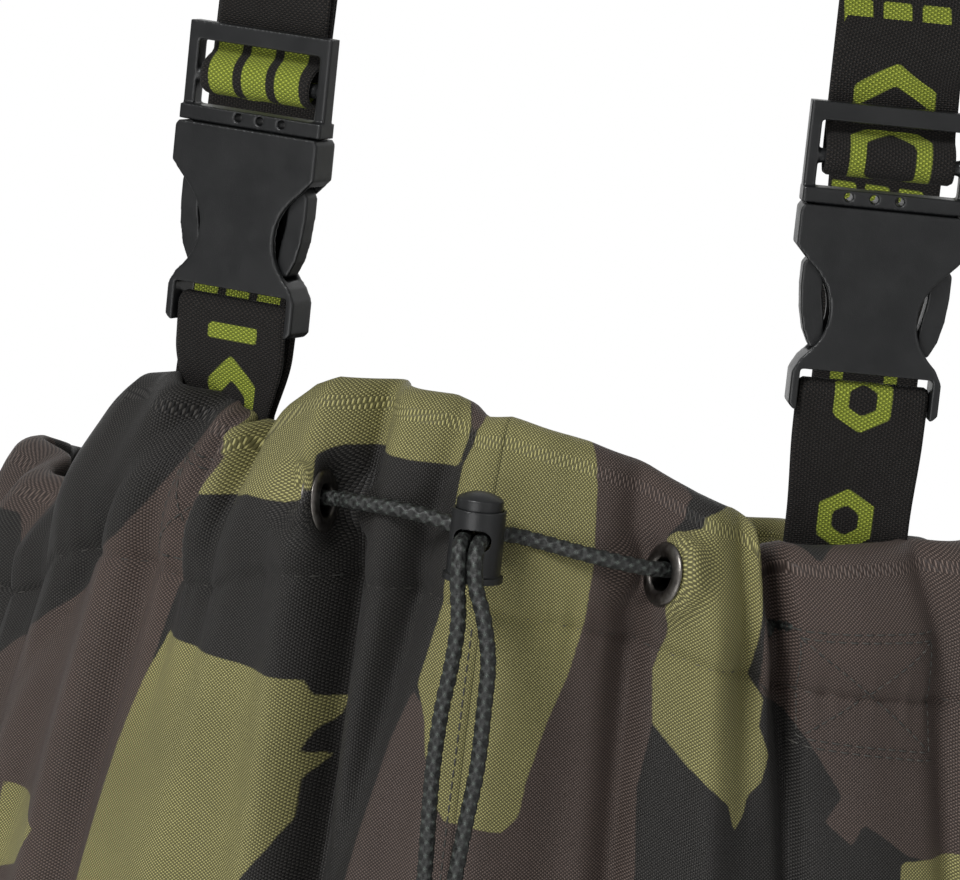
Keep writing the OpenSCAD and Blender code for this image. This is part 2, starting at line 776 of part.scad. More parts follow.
place() boot_sole(-1);  // boot_sole_right
place() boot_insole(1);  // boot_insole_left
place() boot_insole(-1);  // boot_insole_right
place() boot_seam_tape(1);  // boot_seam_tape_left
place() boot_seam_tape(-1);  // boot_seam_tape_right
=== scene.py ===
import math

import bpy
import numpy as np
from mathutils import Matrix, Vector


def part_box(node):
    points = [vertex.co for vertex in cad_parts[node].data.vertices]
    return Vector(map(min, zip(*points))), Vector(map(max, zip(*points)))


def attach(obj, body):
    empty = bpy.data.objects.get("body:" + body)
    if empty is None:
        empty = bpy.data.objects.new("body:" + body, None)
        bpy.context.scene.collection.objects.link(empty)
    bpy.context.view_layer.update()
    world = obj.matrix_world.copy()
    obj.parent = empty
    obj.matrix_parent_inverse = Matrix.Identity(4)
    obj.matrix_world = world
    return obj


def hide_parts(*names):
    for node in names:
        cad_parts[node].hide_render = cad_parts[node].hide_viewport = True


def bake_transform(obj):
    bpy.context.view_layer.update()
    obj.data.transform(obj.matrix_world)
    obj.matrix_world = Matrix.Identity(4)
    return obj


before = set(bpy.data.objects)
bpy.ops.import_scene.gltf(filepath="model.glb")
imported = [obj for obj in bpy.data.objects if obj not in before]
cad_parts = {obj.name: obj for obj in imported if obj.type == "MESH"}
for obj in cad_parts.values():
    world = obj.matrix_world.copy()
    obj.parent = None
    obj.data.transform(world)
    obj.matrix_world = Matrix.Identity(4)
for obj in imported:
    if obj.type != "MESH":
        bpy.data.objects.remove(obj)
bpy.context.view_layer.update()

HANG = -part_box("boot_sole_left")[0].z  # height of the origin above the soles
SIDES = {"left": 1, "right": -1}       # the wearer's left is +X


def height(h):
    """A height above the soles, in metres, as a z in the row frame."""
    return h - HANG


# ---------------------------------------------------------------- camera

CAM_AZIMUTH = math.radians(12)
CAM_ELEVATION = math.radians(9)
CAM_ROLL = math.radians(6)
CAM_DISTANCE = 1.54
CAM_LENS = 200
AIM_RIGHT = -0.008
AIM_UP = -0.0064


def make_camera():
    """Close and long-lensed, from the wearer's left and a little above, tilted in its own plane."""
    az, el = CAM_AZIMUTH, CAM_ELEVATION
    back = Vector((math.sin(az) * math.cos(el), -math.cos(az) * math.cos(el), math.sin(el)))
    right = Vector((math.cos(az), math.sin(az), 0))
    up = back.cross(right)
    target = Vector((0, -0.112, height(1.32))) + right * AIM_RIGHT + up * AIM_UP
    data = bpy.data.cameras.new("camera")
    data.lens = CAM_LENS
    data.sensor_width = 36
    data.clip_end = 50
    camera = bpy.data.objects.new("camera", data)
    bpy.context.scene.collection.objects.link(camera)
    turn = Matrix((right, up, back)).transposed().to_4x4() @ Matrix.Rotation(CAM_ROLL, 4, "Z")
    camera.matrix_world = Matrix.Translation(target + back * CAM_DISTANCE) @ turn
    bpy.context.scene.camera = camera


make_camera()

# ---------------------------------------------------------------- small tools


def smooth(t):
    t = np.clip(t, 0, 1)
    return t * t * (3 - 2 * t)


def mix(a, b, t):
    return a + (b - a) * t


def lengths_along(path):
    """Distance from the start of a path to each of its points."""
    return np.concatenate([[0], np.cumsum(np.linalg.norm(np.diff(path, axis=0), axis=1))])


def side_name(side):
    return "left" if side > 0 else "right"


def add_mesh(name, points, faces, body, material, uv=None, layers=None):
    """A mesh piece from points and faces, riding on a body."""
    mesh = bpy.data.meshes.new(name)
    mesh.from_pydata([tuple(p) for p in points], [], [tuple(f) for f in faces])
    mesh.update()
    if uv is not None:
        loops = np.zeros(len(mesh.loops), np.int32)
        mesh.loops.foreach_get("vertex_index", loops)
        mesh.uv_layers.new(name="cloth").data.foreach_set("uv", np.asarray(uv, np.float32)[loops].ravel())
    for key, values in (layers or {}).items():
        mesh.attributes.new(key, "FLOAT", "POINT").data.foreach_set("value", np.asarray(values, np.float32))
    mesh.shade_smooth()
    mesh.materials.append(material)
    piece = bpy.data.objects.new(name, mesh)
    bpy.context.scene.collection.objects.link(piece)
    if body:
        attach(piece, body)
    return piece


def thicken(piece, offset, lined=False):
    """Give a sheet of cloth its thickness, with the coating on its inner face if it is lined."""
    thick = piece.modifiers.new("cloth thickness", "SOLIDIFY")
    thick.thickness = CLOTH_T
    thick.offset = offset
    if lined:
        piece.data.materials.append(COATING)
        thick.material_offset = 1


def bend_at_hip(piece):
    """Bakes the piece's placement into its mesh."""
    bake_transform(piece)


def grid_faces(rows, columns, flip=False, closed=False):
    """Quads of a grid of points stored row by row."""
    faces = []
    for r in range(rows - 1):
        for c in range(columns if closed else columns - 1):
            d = (c + 1) % columns
            quad = (r * columns + c, r * columns + d, (r + 1) * columns + d, (r + 1) * columns + c)
            faces.append(quad[::-1] if flip else quad)
    return faces


def spline(points, parts):
    """Catmull-Rom curve through given points, as one array."""
    p = np.asarray(points, float)
    p = np.vstack([p[0], p, p[-1]])
    out = []
    for i in range(1, len(p) - 2):
        a, b, c, d = p[i - 1:i + 3]
        for k in range(parts):
            t = k / parts
            out.append(0.5 * (2 * b + (c - a) * t + (2 * a - 5 * b + 4 * c - d) * t ** 2
                              + (3 * b - a - 3 * c + d) * t ** 3))
    out.append(p[-2])
    return np.array(out)


def frames_along(path):
    """Tangents and two normals at each point of a path, turning as little as possible."""
    t = np.gradient(path, axis=0)
    t /= np.linalg.norm(t, axis=1)[:, None]
    n = np.zeros_like(t)
    hint = np.array([0, 0, 1.0]) if abs(t[0, 2]) < 0.9 else np.array([0, 1.0, 0])
    n[0] = hint - t[0] * (hint @ t[0])
    n[0] /= np.linalg.norm(n[0])
    for i in range(1, len(t)):
        n[i] = n[i - 1] - t[i] * (n[i - 1] @ t[i])
        n[i] /= np.linalg.norm(n[i])
    return t, n, np.cross(t, n)


# ---------------------------------------------------------------- materials


class Nodes:
    """Short way to write a node tree."""

    def __init__(self, name):
        self.material = bpy.data.materials.new(name)
        self.material.use_nodes = True
        self.tree = self.material.node_tree
        self.shader = self.tree.nodes["Principled BSDF"]
        self.count = 0

    def add(self, kind, inputs=(), **settings):
        node = self.tree.nodes.new(kind)
        node.location = (-220 * (self.count % 9) - 300, -260 * (self.count // 9))
        self.count += 1
        for key, value in settings.items():
            setattr(node, key, value)
        for key, value in dict(inputs).items():
            if isinstance(value, bpy.types.NodeSocket):
                self.tree.links.new(value, node.inputs[key])
            else:
                node.inputs[key].default_value = value
        return node

    def maths(self, operation, a, b=0.0, c=0.0):
        return self.add("ShaderNodeMath", {0: a, 1: b, 2: c}, operation=operation).outputs[0]

    def blend(self, factor, a, b, how="MIX"):
        node = self.add("ShaderNodeMix", {0: factor, 6: a, 7: b}, data_type="RGBA", blend_type=how)
        return node.outputs[2]

    def step(self, value, low, high, to_low=0.0, to_high=1.0):
        node = self.add("ShaderNodeMapRange", {0: value, 1: low, 2: high, 3: to_low, 4: to_high},
                        interpolation_type="SMOOTHSTEP")
        return node.outputs[0]

    def noise(self, scale, detail=2.0, vector=None, rough=0.5):
        inputs = {"Scale": scale, "Detail": detail, "Roughness": rough}
        if vector is not None:
            inputs["Vector"] = vector
        return self.add("ShaderNodeTexNoise", inputs).outputs[0]

    def place(self):
        return self.add("ShaderNodeTexCoord").outputs["Object"]

    def field(self, name):
        return self.add("ShaderNodeAttribute", attribute_name=name).outputs["Fac"]

    def bump(self, heights, strength, distance, normal=None):
        inputs = {"Height": heights, "Strength": strength, "Distance": distance}
        if normal is not None:
            inputs["Normal"] = normal
        return self.add("ShaderNodeBump", inputs).outputs[0]

    def link(self, value, socket):
        self.tree.links.new(value, self.shader.inputs[socket])

    def set(self, **values):
        for key, value in values.items():
            self.shader.inputs[key.replace("_", " ")].default_value = value


def rgb(r, g, b):
    """A colour given as 0-255 screen values, as linear RGBA."""
    def linear(v):
        v /= 255
        return v / 12.92 if v <= 0.04045 else ((v + 0.055) / 1.055) ** 2.4
    return (linear(r), linear(g), linear(b), 1.0)


THREAD = 0.00052  # pitch of the cloth's plain weave

OLIVE = rgb(144, 139, 88)
BROWN = rgb(80, 66, 60)
CHARCOAL = rgb(27, 25, 24)


def weave(n, pitch_u, pitch_v):
    """Floats (0-1) and thread height of a plain weave over the cloth's own coordinates. The colours use the floats
    to paint lit thread tops and shaded gaps.
    """
    uv = n.add("ShaderNodeSeparateXYZ", {0: n.add("ShaderNodeUVMap", uv_map="cloth").outputs[0]})
    waver = n.maths("MULTIPLY", n.maths("SUBTRACT", n.noise(90, 1, n.place()), 0.5), pitch_u * 0.9)
    across = n.maths("SINE", n.maths("MULTIPLY", n.maths("ADD", uv.outputs[0], waver), math.pi / pitch_u))
    down = n.maths("SINE", n.maths("MULTIPLY", uv.outputs[1], math.pi / pitch_v))
    check = n.maths("MULTIPLY", across, down)
    floats = n.step(check, -0.15, 0.75)
    thread = n.maths("ADD", n.maths("ABSOLUTE", check), n.maths("MULTIPLY", floats, 0.55))
    return floats, thread


def camo_material():
    """Coated plain-weave nylon with a three-colour print. The print's edges come from two distance fields."""
    n = Nodes("camo_cloth")
    floats, thread = weave(n, THREAD, THREAD)
    ragged = n.maths("MULTIPLY", n.maths("SUBTRACT", n.noise(420, 2, n.place()), 0.5), 0.0005)
    olive = n.step(n.maths("ADD", n.field("olive"), ragged), -0.0003, 0.0003)
    brown = n.step(n.maths("ADD", n.field("brown"), ragged), -0.0003, 0.0003)
    dye = n.blend(olive, n.blend(brown, CHARCOAL, BROWN), OLIVE)
    cloudy = n.step(n.noise(14, 3, n.place()), 0.3, 0.7, 0.86, 1.1)
    # Painted shade and highlight: the weave's floats are painted lighter and its gaps darker, times a random
    # cloudy tone of the cloth.
    shade = n.maths("MULTIPLY", n.maths("MULTIPLY_ADD", floats, 1.35, 0.36), cloudy)
    grey = n.add("ShaderNodeCombineXYZ", {0: shade, 1: shade, 2: shade}).outputs[0]
    colour = n.blend(1.0, dye, grey, "MULTIPLY")
    # Painted highlight: a pale glint of light mixed into the base colour on each float.
    painted_thread_gleam = n.maths("MULTIPLY", floats, n.blend(olive, (0.07,) * 3 + (1,), (0.05,) * 3 + (1,)))
    n.link(n.blend(painted_thread_gleam, colour, rgb(190, 186, 176)), "Base Color")
    n.link(n.step(n.noise(35, 2, n.place()), 0.3, 0.7, 0.46, 0.6), "Roughness")
    crumple = n.bump(n.noise(60, 4, n.place(), 0.55), 0.35, 0.0012)
    n.link(n.bump(thread, 0.8, 0.00018, crumple), "Normal")
    n.set(Sheen_Weight=0.04, Sheen_Roughness=0.5, Specular_IOR_Level=0.34)
    return n.material


def webbing_material():
    """Black elastic webbing with a woven-in lime pattern from a distance field."""
    n = Nodes("webbing")
    floats, thread = weave(n, 0.0009, 0.0006)
    lime = n.step(n.field("lime"), -0.00025, 0.00025)
    # Painted shade and highlight: each colour's floats are painted lighter and its gaps darker.
    black = n.blend(floats, rgb(11, 10, 9), rgb(44, 39, 35))
    green = n.blend(floats, rgb(106, 118, 34), rgb(178, 188, 72))
    n.link(n.blend(lime, black, green), "Base Color")
    n.link(n.step(n.noise(300, 2, n.place()), 0.3, 0.7, 0.62, 0.8), "Roughness")
    n.link(n.bump(thread, 0.8, 0.00035), "Normal")
    n.set(Sheen_Weight=0.03, Specular_IOR_Level=0.3)
    return n.material


def braid_material():
    """Black braided cord with grey-green flecks."""
    n = Nodes("cord_braid")
    uv = n.add("ShaderNodeSeparateXYZ", {0: n.add("ShaderNodeUVMap", uv_map="cloth").outputs[0]})
    lay = n.maths("MULTIPLY", uv.outputs[1], 12.566)
    left = n.maths("SINE", n.maths("MULTIPLY_ADD", uv.outputs[0], 1500.0, lay))
    fleck = n.maths("MULTIPLY", n.step(left, 0.45, 0.9), n.field("strand"))
    grain = n.step(n.noise(1800, 2, n.place()), 0.35, 0.7)
    dark = n.blend(grain, rgb(14, 14, 14), rgb(42, 44, 42))
    n.link(n.blend(n.maths("MULTIPLY", fleck, 0.9), dark, rgb(138, 150, 142)), "Base Color")
    n.link(n.step(grain, 0, 1, 0.42, 0.62), "Roughness")
    n.link(n.bump(n.noise(2600, 2, n.place()), 0.4, 0.0002), "Normal")
    return n.material


def plastic_material(name, light, dark, rough_low, rough_high):
    """Moulded plastic: fine spark-eroded grain, faint mottling and a painted highlight that makes convex edges a
    little paler.
    """
    n = Nodes(name)
    # Painted highlight: convex edges, found by pointiness, are painted paler.
    edge = n.step(n.add("ShaderNodeNewGeometry").outputs["Pointiness"], 0.52, 0.62)
    mottle = n.step(n.noise(220, 3, n.place()), 0.35, 0.7)
    body = n.blend(mottle, dark, light)
    n.link(n.blend(n.maths("MULTIPLY", edge, 0.25), body, rgb(84, 86, 85)), "Base Color")
    n.link(n.step(n.noise(90, 3, n.place()), 0.3, 0.7, rough_low, rough_high), "Roughness")
    n.link(n.bump(n.noise(3800, 2, n.place()), 0.22, 0.0002), "Normal")
    return n.material


def metal_material(name, tone, rough):
    n = Nodes(name)
    worn = n.step(n.noise(700, 3, n.place()), 0.3, 0.75)
    n.link(n.blend(worn, tone, tuple(0.62 * c for c in tone[:3]) + (1.0,)), "Base Color")
    n.link(n.step(n.noise(500, 2, n.place()), 0.3, 0.7, rough, rough + 0.16), "Roughness")
    n.link(n.bump(n.noise(1500, 2, n.place()), 0.12, 0.0002), "Normal")
    n.set(Metallic=1.0)
    return n.material


def rubber_material(name, light, dark, rough):
    n = Nodes(name)
    mottle = n.step(n.noise(26, 4, n.place()), 0.3, 0.7)
    scuff = n.step(n.noise(160, 5, n.place(), 0.7), 0.62, 0.78)
    body = n.blend(mottle, dark, light)
    n.link(n.blend(n.maths("MULTIPLY", scuff, 0.3), body, rgb(112, 114, 100)), "Base Color")
    n.link(n.step(n.noise(60, 3, n.place()), 0.3, 0.7, rough, rough + 0.2), "Roughness")
    n.link(n.bump(n.noise(900, 3, n.place()), 0.25, 0.0004), "Normal")
    return n.material


CLOTH = camo_material()
WEBBING = webbing_material()
BRAID = braid_material()
BUCKLE = plastic_material("buckle_plastic", rgb(25, 26, 27), rgb(22, 23, 24), 0.3, 0.4)
LOCK = plastic_material("lock_plastic", rgb(27, 28, 29), rgb(23, 24, 25), 0.36, 0.48)
GUNMETAL = metal_material("eyelet_metal", rgb(120, 116, 112), 0.28)
SPRING = metal_material("spring_steel", rgb(200, 200, 196), 0.18)
BOOT = rubber_material("boot_pvc", rgb(72, 76, 56), rgb(58, 62, 46), 0.35)
SOLE = rubber_material("sole_rubber", rgb(46, 46, 42), rgb(34, 34, 31), 0.55)
TAPE = rubber_material("tape_rubber", rgb(56, 60, 48), rgb(46, 50, 40), 0.4)
FELT = rubber_material("insole_felt", rgb(110, 110, 102), rgb(84, 84, 78), 0.75)
THREADS = plastic_material("thread", rgb(70, 66, 60), rgb(52, 50, 46), 0.5, 0.65)
COATING = rubber_material("coating", rgb(62, 62, 56), rgb(50, 50, 45), 0.45)


# ---------------------------------------------------------------- moulded parts

# Moulded nodes: name, material, voxel of the rounded surface, passes of smoothing.
MOULDED = (
    ("buckle_housing", BUCKLE, 0.0004, 10), ("buckle_frame", BUCKLE, 0.0004, 8),
    ("prong_outer", BUCKLE, 0.00035, 10), ("prong_inner", BUCKLE, 0.00035, 10),
    ("boot_upper", BOOT, 0.0016, 8), ("boot_sole", SOLE, 0.0014, 3),
    ("boot_seam_tape", TAPE, 0.001, 4), ("boot_insole", FELT, 0.001, 6),
    ("cord_lock_barrel", LOCK, 0.00025, 5), ("cord_lock_button", LOCK, 0.00025, 5),
)


def round_off(cad, material, voxel, passes):
    """Moulded look for a CAD node: its sharp edges are rounded by a fine remesh and smoothing."""
    cad.data.materials.clear()
    cad.data.materials.append(material)
    remesh = cad.modifiers.new("remesh", "REMESH")
    remesh.mode = "VOXEL"
    remesh.voxel_size = voxel * 1
    remesh.use_smooth_shade = True
    ease = cad.modifiers.new("ease", "SMOOTH")
    ease.factor = 0.5
    ease.iterations = passes


for start, material, voxel, passes in MOULDED:
    for name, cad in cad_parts.items():
        if name.startswith(start):
            round_off(cad, material, voxel, passes)
for start, material in (("cord_lock_spring", SPRING), ("eyelet_washer", GUNMETAL)):
    for name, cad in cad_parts.items():
        if name.startswith(start):
            cad.data.materials.clear()
            cad.data.materials.append(material)
            cad.data.shade_smooth()

# ---------------------------------------------------------------- the bib's shape

HEM_HALF_W, HEM_HALF_D = 0.167, 0.112   # half width and half depth of the gathered hem
HEM_H, BACK_DROP, HIP_H = 1.32, 0.055, 0.83
HEM_POWER, CHEST_GROW, FLAT_SHARE = 1.7, 0.046, 0.4
LEG_X, THIGH_R = 0.107, 0.106
CASING = 0.046                          # height of the sewn casing
FOLD_W = 0.0096                         # thickness of the rolled hem


def quarter_share(t):
    """Share of a quarter, 0 at the side and 1 at the centre seam. t is 0 in front, 1 at the side, 2 behind."""
    return np.abs(1 - np.asarray(t, float))


def hem_top(t):
    """Height of the smooth hem above the soles."""
    lean = np.sin(np.pi / 2 * quarter_share(t)) * np.where(np.asarray(t) < 1, 1, -1)
    return HEM_H - BACK_DROP * (1 - lean) / 2


def plan(t, h):
    """Smooth plan of the wearer's left half: x and y at height h."""
    s = quarter_share(t)
    sign = np.where(np.asarray(t) < 1, -1.0, 1.0)
    flare = smooth((HEM_H - h) / 0.25)
    puff = 0.012 * smooth((HEM_H - h) / 0.045)
    low = smooth((1.13 - h) / (1.13 - HIP_H))
    a = HEM_HALF_W + puff + CHEST_GROW * 0.75 * flare
    b = HEM_HALF_D + puff * 0.8 + 0.008 * flare
    ox = a * np.cos(np.pi / 2 * s) ** (2 / HEM_POWER)
    oy = b * np.sin(np.pi / 2 * s) ** (2 / HEM_POWER)
    turn = np.pi / 2 * np.minimum(s / (1 - FLAT_SHARE), 1)
    sx = np.where(s < 1 - FLAT_SHARE, LEG_X + THIGH_R * np.cos(turn), LEG_X * (1 - s) / FLAT_SHARE)
    sy = THIGH_R * np.sin(turn)
    # Below the hips the half closes into a round leg, and its centre edges meet under the crotch.
    leg = smooth((HIP_H + 0.05 - h) / 0.075)
    leg_r = np.interp(h, [0.5, 0.6, 0.72, 0.8, 0.9], [0.083, 0.088, 0.095, 0.1, 0.103])
    around = np.pi * s
    lx = LEG_X + leg_r * np.cos(around)
    ly = leg_r * np.sin(around)
    x = mix(mix(ox, sx, low), lx, leg)
    y = mix(mix(oy, sy, low), ly, leg)
    return x, y * sign


def surface(t, drop, out=0.0):
    """Point of the smooth wader wall: t round the body, drop below the hem, out along its normal."""
    t, drop, out = np.broadcast_arrays(np.asarray(t, float), np.asarray(drop, float), np.asarray(out, float))
    h = hem_top(t) - drop
    x, y = plan(t, h)
    e = 1e-3
    x1, y1 = plan(np.clip(t + e, 0, 2), h)
    x0, y0 = plan(np.clip(t - e, 0, 2), h)
    nx, ny = (y1 - y0), -(x1 - x0)
    size = np.hypot(nx, ny) + 1e-12
    seam = np.isclose(t, 0) | np.isclose(t, 2)
    nx, ny = np.where(seam, 0, nx / size), np.where(seam, np.sign(y), ny / size)
    return np.stack([x + nx * out, y + ny * out, h - HANG], -1)


# ---------------------------------------------------------------- drawcord

CORD_D = 0.0045
# Free runs of the drawcord, each from its eyelet, through the lock and down to its knot. x, y and drop below the
# front hem, in mm, on the wearer's left. The right one is mirrored.
CORD_ROUTES = {
    1: ((53.2, -112.7, -36.6), (50.4, -115.4, -36.2), (46, -119.3, -35.7), (38, -123.5, -34.4),
        (27, -126, -32.8), (16, -127, -31.2), (9.5, -127.8, -30.3), (5.4, -129.4, -30), (3.1, -132, -30),
        (2.5, -136, -30), (2.5, -142, -30), (2.5, -148, -30.2), (2.7, -152, -31.6), (3.2, -154.4, -36),
        (4.4, -155.2, -42), (7.6, -156, -50), (10.4, -156.8, -62), (10.8, -157.6, -76), (10.8, -158.4, -92),
        (9.6, -159.2, -106), (8.4, -159.8, -120), (7.4, -160.4, -140), (7.8, -160.8, -175),
        (8.4, -161, -210), (8.6, -161.2, -240)),
    -1: ((56.3, -114.2, -29.9), (52, -115, -29.4), (46.8, -116.8, -28.9), (40.5, -121, -28.3),
         (27, -125.6, -27.8), (16, -127, -28.7), (9.5, -127.8, -29.7), (5.4, -129.4, -30), (3.1, -132, -30),
         (2.5, -136, -30), (2.5, -142, -30), (2.5, -148, -30.2), (2.3, -152, -31.6), (1.6, -154.4, -36),
         (1, -155.2, -42), (-0.4, -156, -52), (0, -156.8, -64), (1.4, -157.6, -78), (1.9, -158.4, -94),
         (1.5, -159.2, -108), (0.8, -159.8, -124), (0.4, -160.4, -145), (0.8, -160.8, -175),
         (1.2, -161, -205), (1.2, -161.2, -228)),
}


def resample(path, step):
    """The same path with points a fixed distance apart."""
    lengths = lengths_along(path)
    at = np.linspace(0, lengths[-1], max(3, int(lengths[-1] / step)))
    return np.stack([np.interp(at, lengths, path[:, k]) for k in range(3)], 1), at


def braid(name, path, body, radius=CORD_D / 2):
    """Round braid along a path, with eight strands a turn that stand proud as they cross over."""
    path, at = resample(path, 0.00042)
    sides = 28
    _, n, b = frames_along(path)
    angle = np.linspace(0, 2 * np.pi, sides, endpoint=False)
    lay = 2 * np.pi * at[:, None] / 0.0155
    first = np.cos(4 * angle[None] + 4 * lay)
    second = np.cos(4 * angle[None] - 4 * lay)
    over = np.where(np.sin(4 * lay) * np.sin(4 * angle[None]) > 0, first, second)
    swell = 0.5 + 0.5 * np.maximum(first, second)
    r = radius * (0.8 + 0.24 * swell ** 0.8)
    points = path[:, None] + r[..., None] * (np.cos(angle)[None, :, None] * n[:, None]
                                             + np.sin(angle)[None, :, None] * b[:, None])
    for end in (0, -1):
        points[end] = path[end] + (points[end] - path[end]) * 0.4
    flat = points.reshape(-1, 3)
    faces = grid_faces(len(path), sides, flip=True, closed=True)
    faces += [tuple(range(sides)), tuple(range(len(flat) - 1, len(flat) - 1 - sides, -1))]
    uv = np.stack([np.broadcast_to(angle, r.shape) / (2 * np.pi), np.broadcast_to(at[:, None], r.shape)], -1)
    strand = np.clip(over, 0, 1)
    layers = {"strand": strand.ravel()}
    return add_mesh(name, flat, faces, body, BRAID, uv.reshape(-1, 2), layers), path


def make_drawcord(side):
    """Free run of the drawcord from an eyelet through the lock to its stopper knot."""
    name = side_name(side)
    route = np.array([(x * side / 1000, y / 1000, height(HEM_H + z / 1000)) for x, y, z in CORD_ROUTES[side]])
    piece, path = braid("drawcord_" + name, spline(route, 12), None)
    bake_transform(piece)
    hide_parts("drawcord_" + name)
    # The stopper knot is an overhand knot pulled tight, with a short end below it.
    end = route[-1] + np.array([0, 0, -0.0042])
    turn = np.linspace(0, 2 * np.pi, 60)
    lobe = np.stack([np.sin(turn) + 2 * np.sin(2 * turn), np.cos(turn) - 2 * np.cos(2 * turn),
                     -1.2 * np.sin(3 * turn)], 1)
    knot, _ = braid("drawcord_knot_" + name, end + lobe * 0.00085, "cord_lock", radius=0.0019)
    stub = np.array([end + (0.0004, 0, 0), end + (0.0006, 0, -0.0045), end + (0.0002, 0, -0.009)])
    tail, _ = braid("drawcord_end_" + name, spline(stub, 8), "cord_lock")
    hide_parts("drawcord_knot_" + name)


for side in SIDES.values():
    make_drawcord(side)


# ---------------------------------------------------------------- folds of the cloth

STITCH = 0.054                          # drop of the casing's seam below the rolled hem, over the puffed cloth
FACING = 0.056                          # how far the turned-in facing reaches down inside
CLOTH_T = 0.0009

# Hem line seen from the front: distance round the body from the front centre and drop of the edge, in mm.
HEM_LINE = ((-240, 14), (-205, 30), (-182, 36), (-168, 26), (-155, 6), (-144, -2), (-132, -3), (-118, 2),
            (-104, 8), (-97, 12), (-90, 9), (-84, 13), (-76, 3), (-66, -4), (-57, -7), (-38, -6), (-20, -5),
            (-8, 0), (0, -1), (25, 3), (45, 8), (60, 13), (72, 16), (79, 19), (84, 30), (90, 24), (100, 23),
            (123, 19), (150, 14), (180, 8), (240, 2))

# Folds of the front: place at the hem and 150 mm lower, half width, then how far it stands out (or in, if
# negative) at the hem, at the casing's seam, 110 mm, 260 mm and 450 mm below. All in mm.
FRONT_FOLDS = (
    (-176, -184, 10, -3, -3, -3, -2, 0), (-152, -168, 16, 2, 3, 4, 3, 0), (-136, -152, 8, -2, -3, -4, -3, 0),
    (-114, -186, 5, -6, -5, -1, 0, 0), (-123, -133, 7, 6, 5, 6, 4, 0), (-113, -121, 5, -7, -7, -7, -3, 0),
    (-103, -100, 4.4, -9, -5, 0, 0, 0), (-95, -92, 4.6, 7, 2, 0, 0, 0), (-87, -85, 3.4, -11, -3, 0, 0, 0),
    (-74, -84, 14, 4, 6, 7, 6, 0), (-58, -56, 7, 6, 8, 8, 5, 0), (-43, -42, 5.2, -9, -17, -19, -12, 0),
    (-31, -32, 8, 3, 5, 5, 4, 0), (-14, -34, 4.5, -3, -7, -7, -4, 0), (-5, -9, 6, 3, 3, 5, 4, 0),
    (12, 8, 11, 4, 4, 5, 5, 0), (30, 26, 8, 1, 0, -3, -3, 0), (42, 41, 5.5, -4, -11, -11, -7, 0),
    (64, 67, 8, 7, 10, 9, 4, 0), (75, 77, 3, -3, -6, 0, 0, 0), (80, 84, 3, 4, 3, -1, 0, 0),
    (86, 91, 3.4, -13, -15, -8, -3, 0), (108, 112, 15, 3, 3, 3, 2, 0), (135, 140, 5, -5, -7, -6, -4, 0),
    (148, 155, 10, 4, 5, 5, 3, 0),
)


def seeded_folds():
    """Gathers of the sides and the back, on one side of the body, with a fixed seed."""
    rng = np.random.default_rng(7)
    folds = []
    at, way = 166.0, -1
    while at < 462:
        size = rng.uniform(3.2, 5.5) * way
        lean = rng.uniform(-10, 10)
        folds.append((at, at + lean, rng.uniform(6, 10), size, size * 1.15, size, size * 0.6, size * 0.1))
        at += rng.uniform(11, 17)
        way = -way
    return folds


SIDE_FOLDS = seeded_folds()
RNG = np.random.default_rng(3)
WRINKLES = [(RNG.uniform(0.02, 0.075) * RNG.choice([-1, 1]), RNG.uniform(0.008, 0.05), RNG.uniform(0, 6.28),
             RNG.uniform(0.12, 0.3)) for _ in range(14)]
PUCKERS = [(RNG.uniform(0.55, 1.2), RNG.uniform(0, 6.28)) for _ in range(6)]
FOLD_DROPS = (0, 50, 110, 260, 450)


def arc_table():
    """Distance round one half of the body for each t."""
    t = np.linspace(0, 2, 2001)
    return t, lengths_along(surface(t, 0.03))


ARC_T, ARC_U = arc_table()
HALF_ROUND = float(ARC_U[-1])           # distance round one half of the body


def fold_height(u, drop):
    """How far the cloth stands off the smooth wall, in metres. u is signed, positive on the wearer's left."""
    a, d = u * 1000, np.maximum(drop, 0) * 1000
    out = np.zeros(np.broadcast(a, d).shape)
    for fold in FRONT_FOLDS:
        out += one_fold(a, d, fold)
    for fold in SIDE_FOLDS:
        out += one_fold(np.abs(a), d, fold)
    for across, down, phase, size in WRINKLES:
        out += size * np.sin(across * a + down * d + phase) * smooth(d / 30)
    band = np.exp(-((d - STITCH * 1000) / 10) ** 2)
    for pitch, phase in PUCKERS:
        out += 0.16 * band * np.sin(pitch * a + phase + 0.02 * d)
    out -= 1.3 * np.exp(-((d - STITCH * 1000) / 1.6) ** 2)
    out += 3.4 * np.sin(np.pi * np.clip(d / (STITCH * 1000), 0, 1)) ** 0.8
    return out / 1000


def one_fold(a, d, fold):
    """Height in mm of one fold, a in mm round the body and d below the hem."""
    top, low, width, *heights = fold
    centre = top + (low - top) * np.minimum(d / 150, 1.4)
    size = np.interp(d, FOLD_DROPS, heights)
    off = np.abs(a - centre) / width
    return size * np.exp(-off ** 1.8)


# Eyelets: x, y and drop below the front hem, in metres, and the turn about the vertical, in degrees.
EYELETS = {1: (0.0504, -0.1154, 0.0376, -46), -1: (0.052, -0.115, 0.0303, -80)}
EYELET_TILT = -8
EYELET_FLAT = 0.0098                    # the cloth lies flat this far round an eyelet's centre
FACING_INSET = 0.006                    # points further in than this are on the turned-in facing
WASHER_CLEAR = 0.0128                   # the cloth's crest keeps this far from the washer's centre


def hem_sink(u, drop):
    """How far the uneven hem line lowers the cloth at a place, in metres."""
    line = np.interp(u * 1000, [h[0] for h in HEM_LINE], [h[1] for h in HEM_LINE]) / 1000
    return line * (1 - smooth(drop / 0.1))


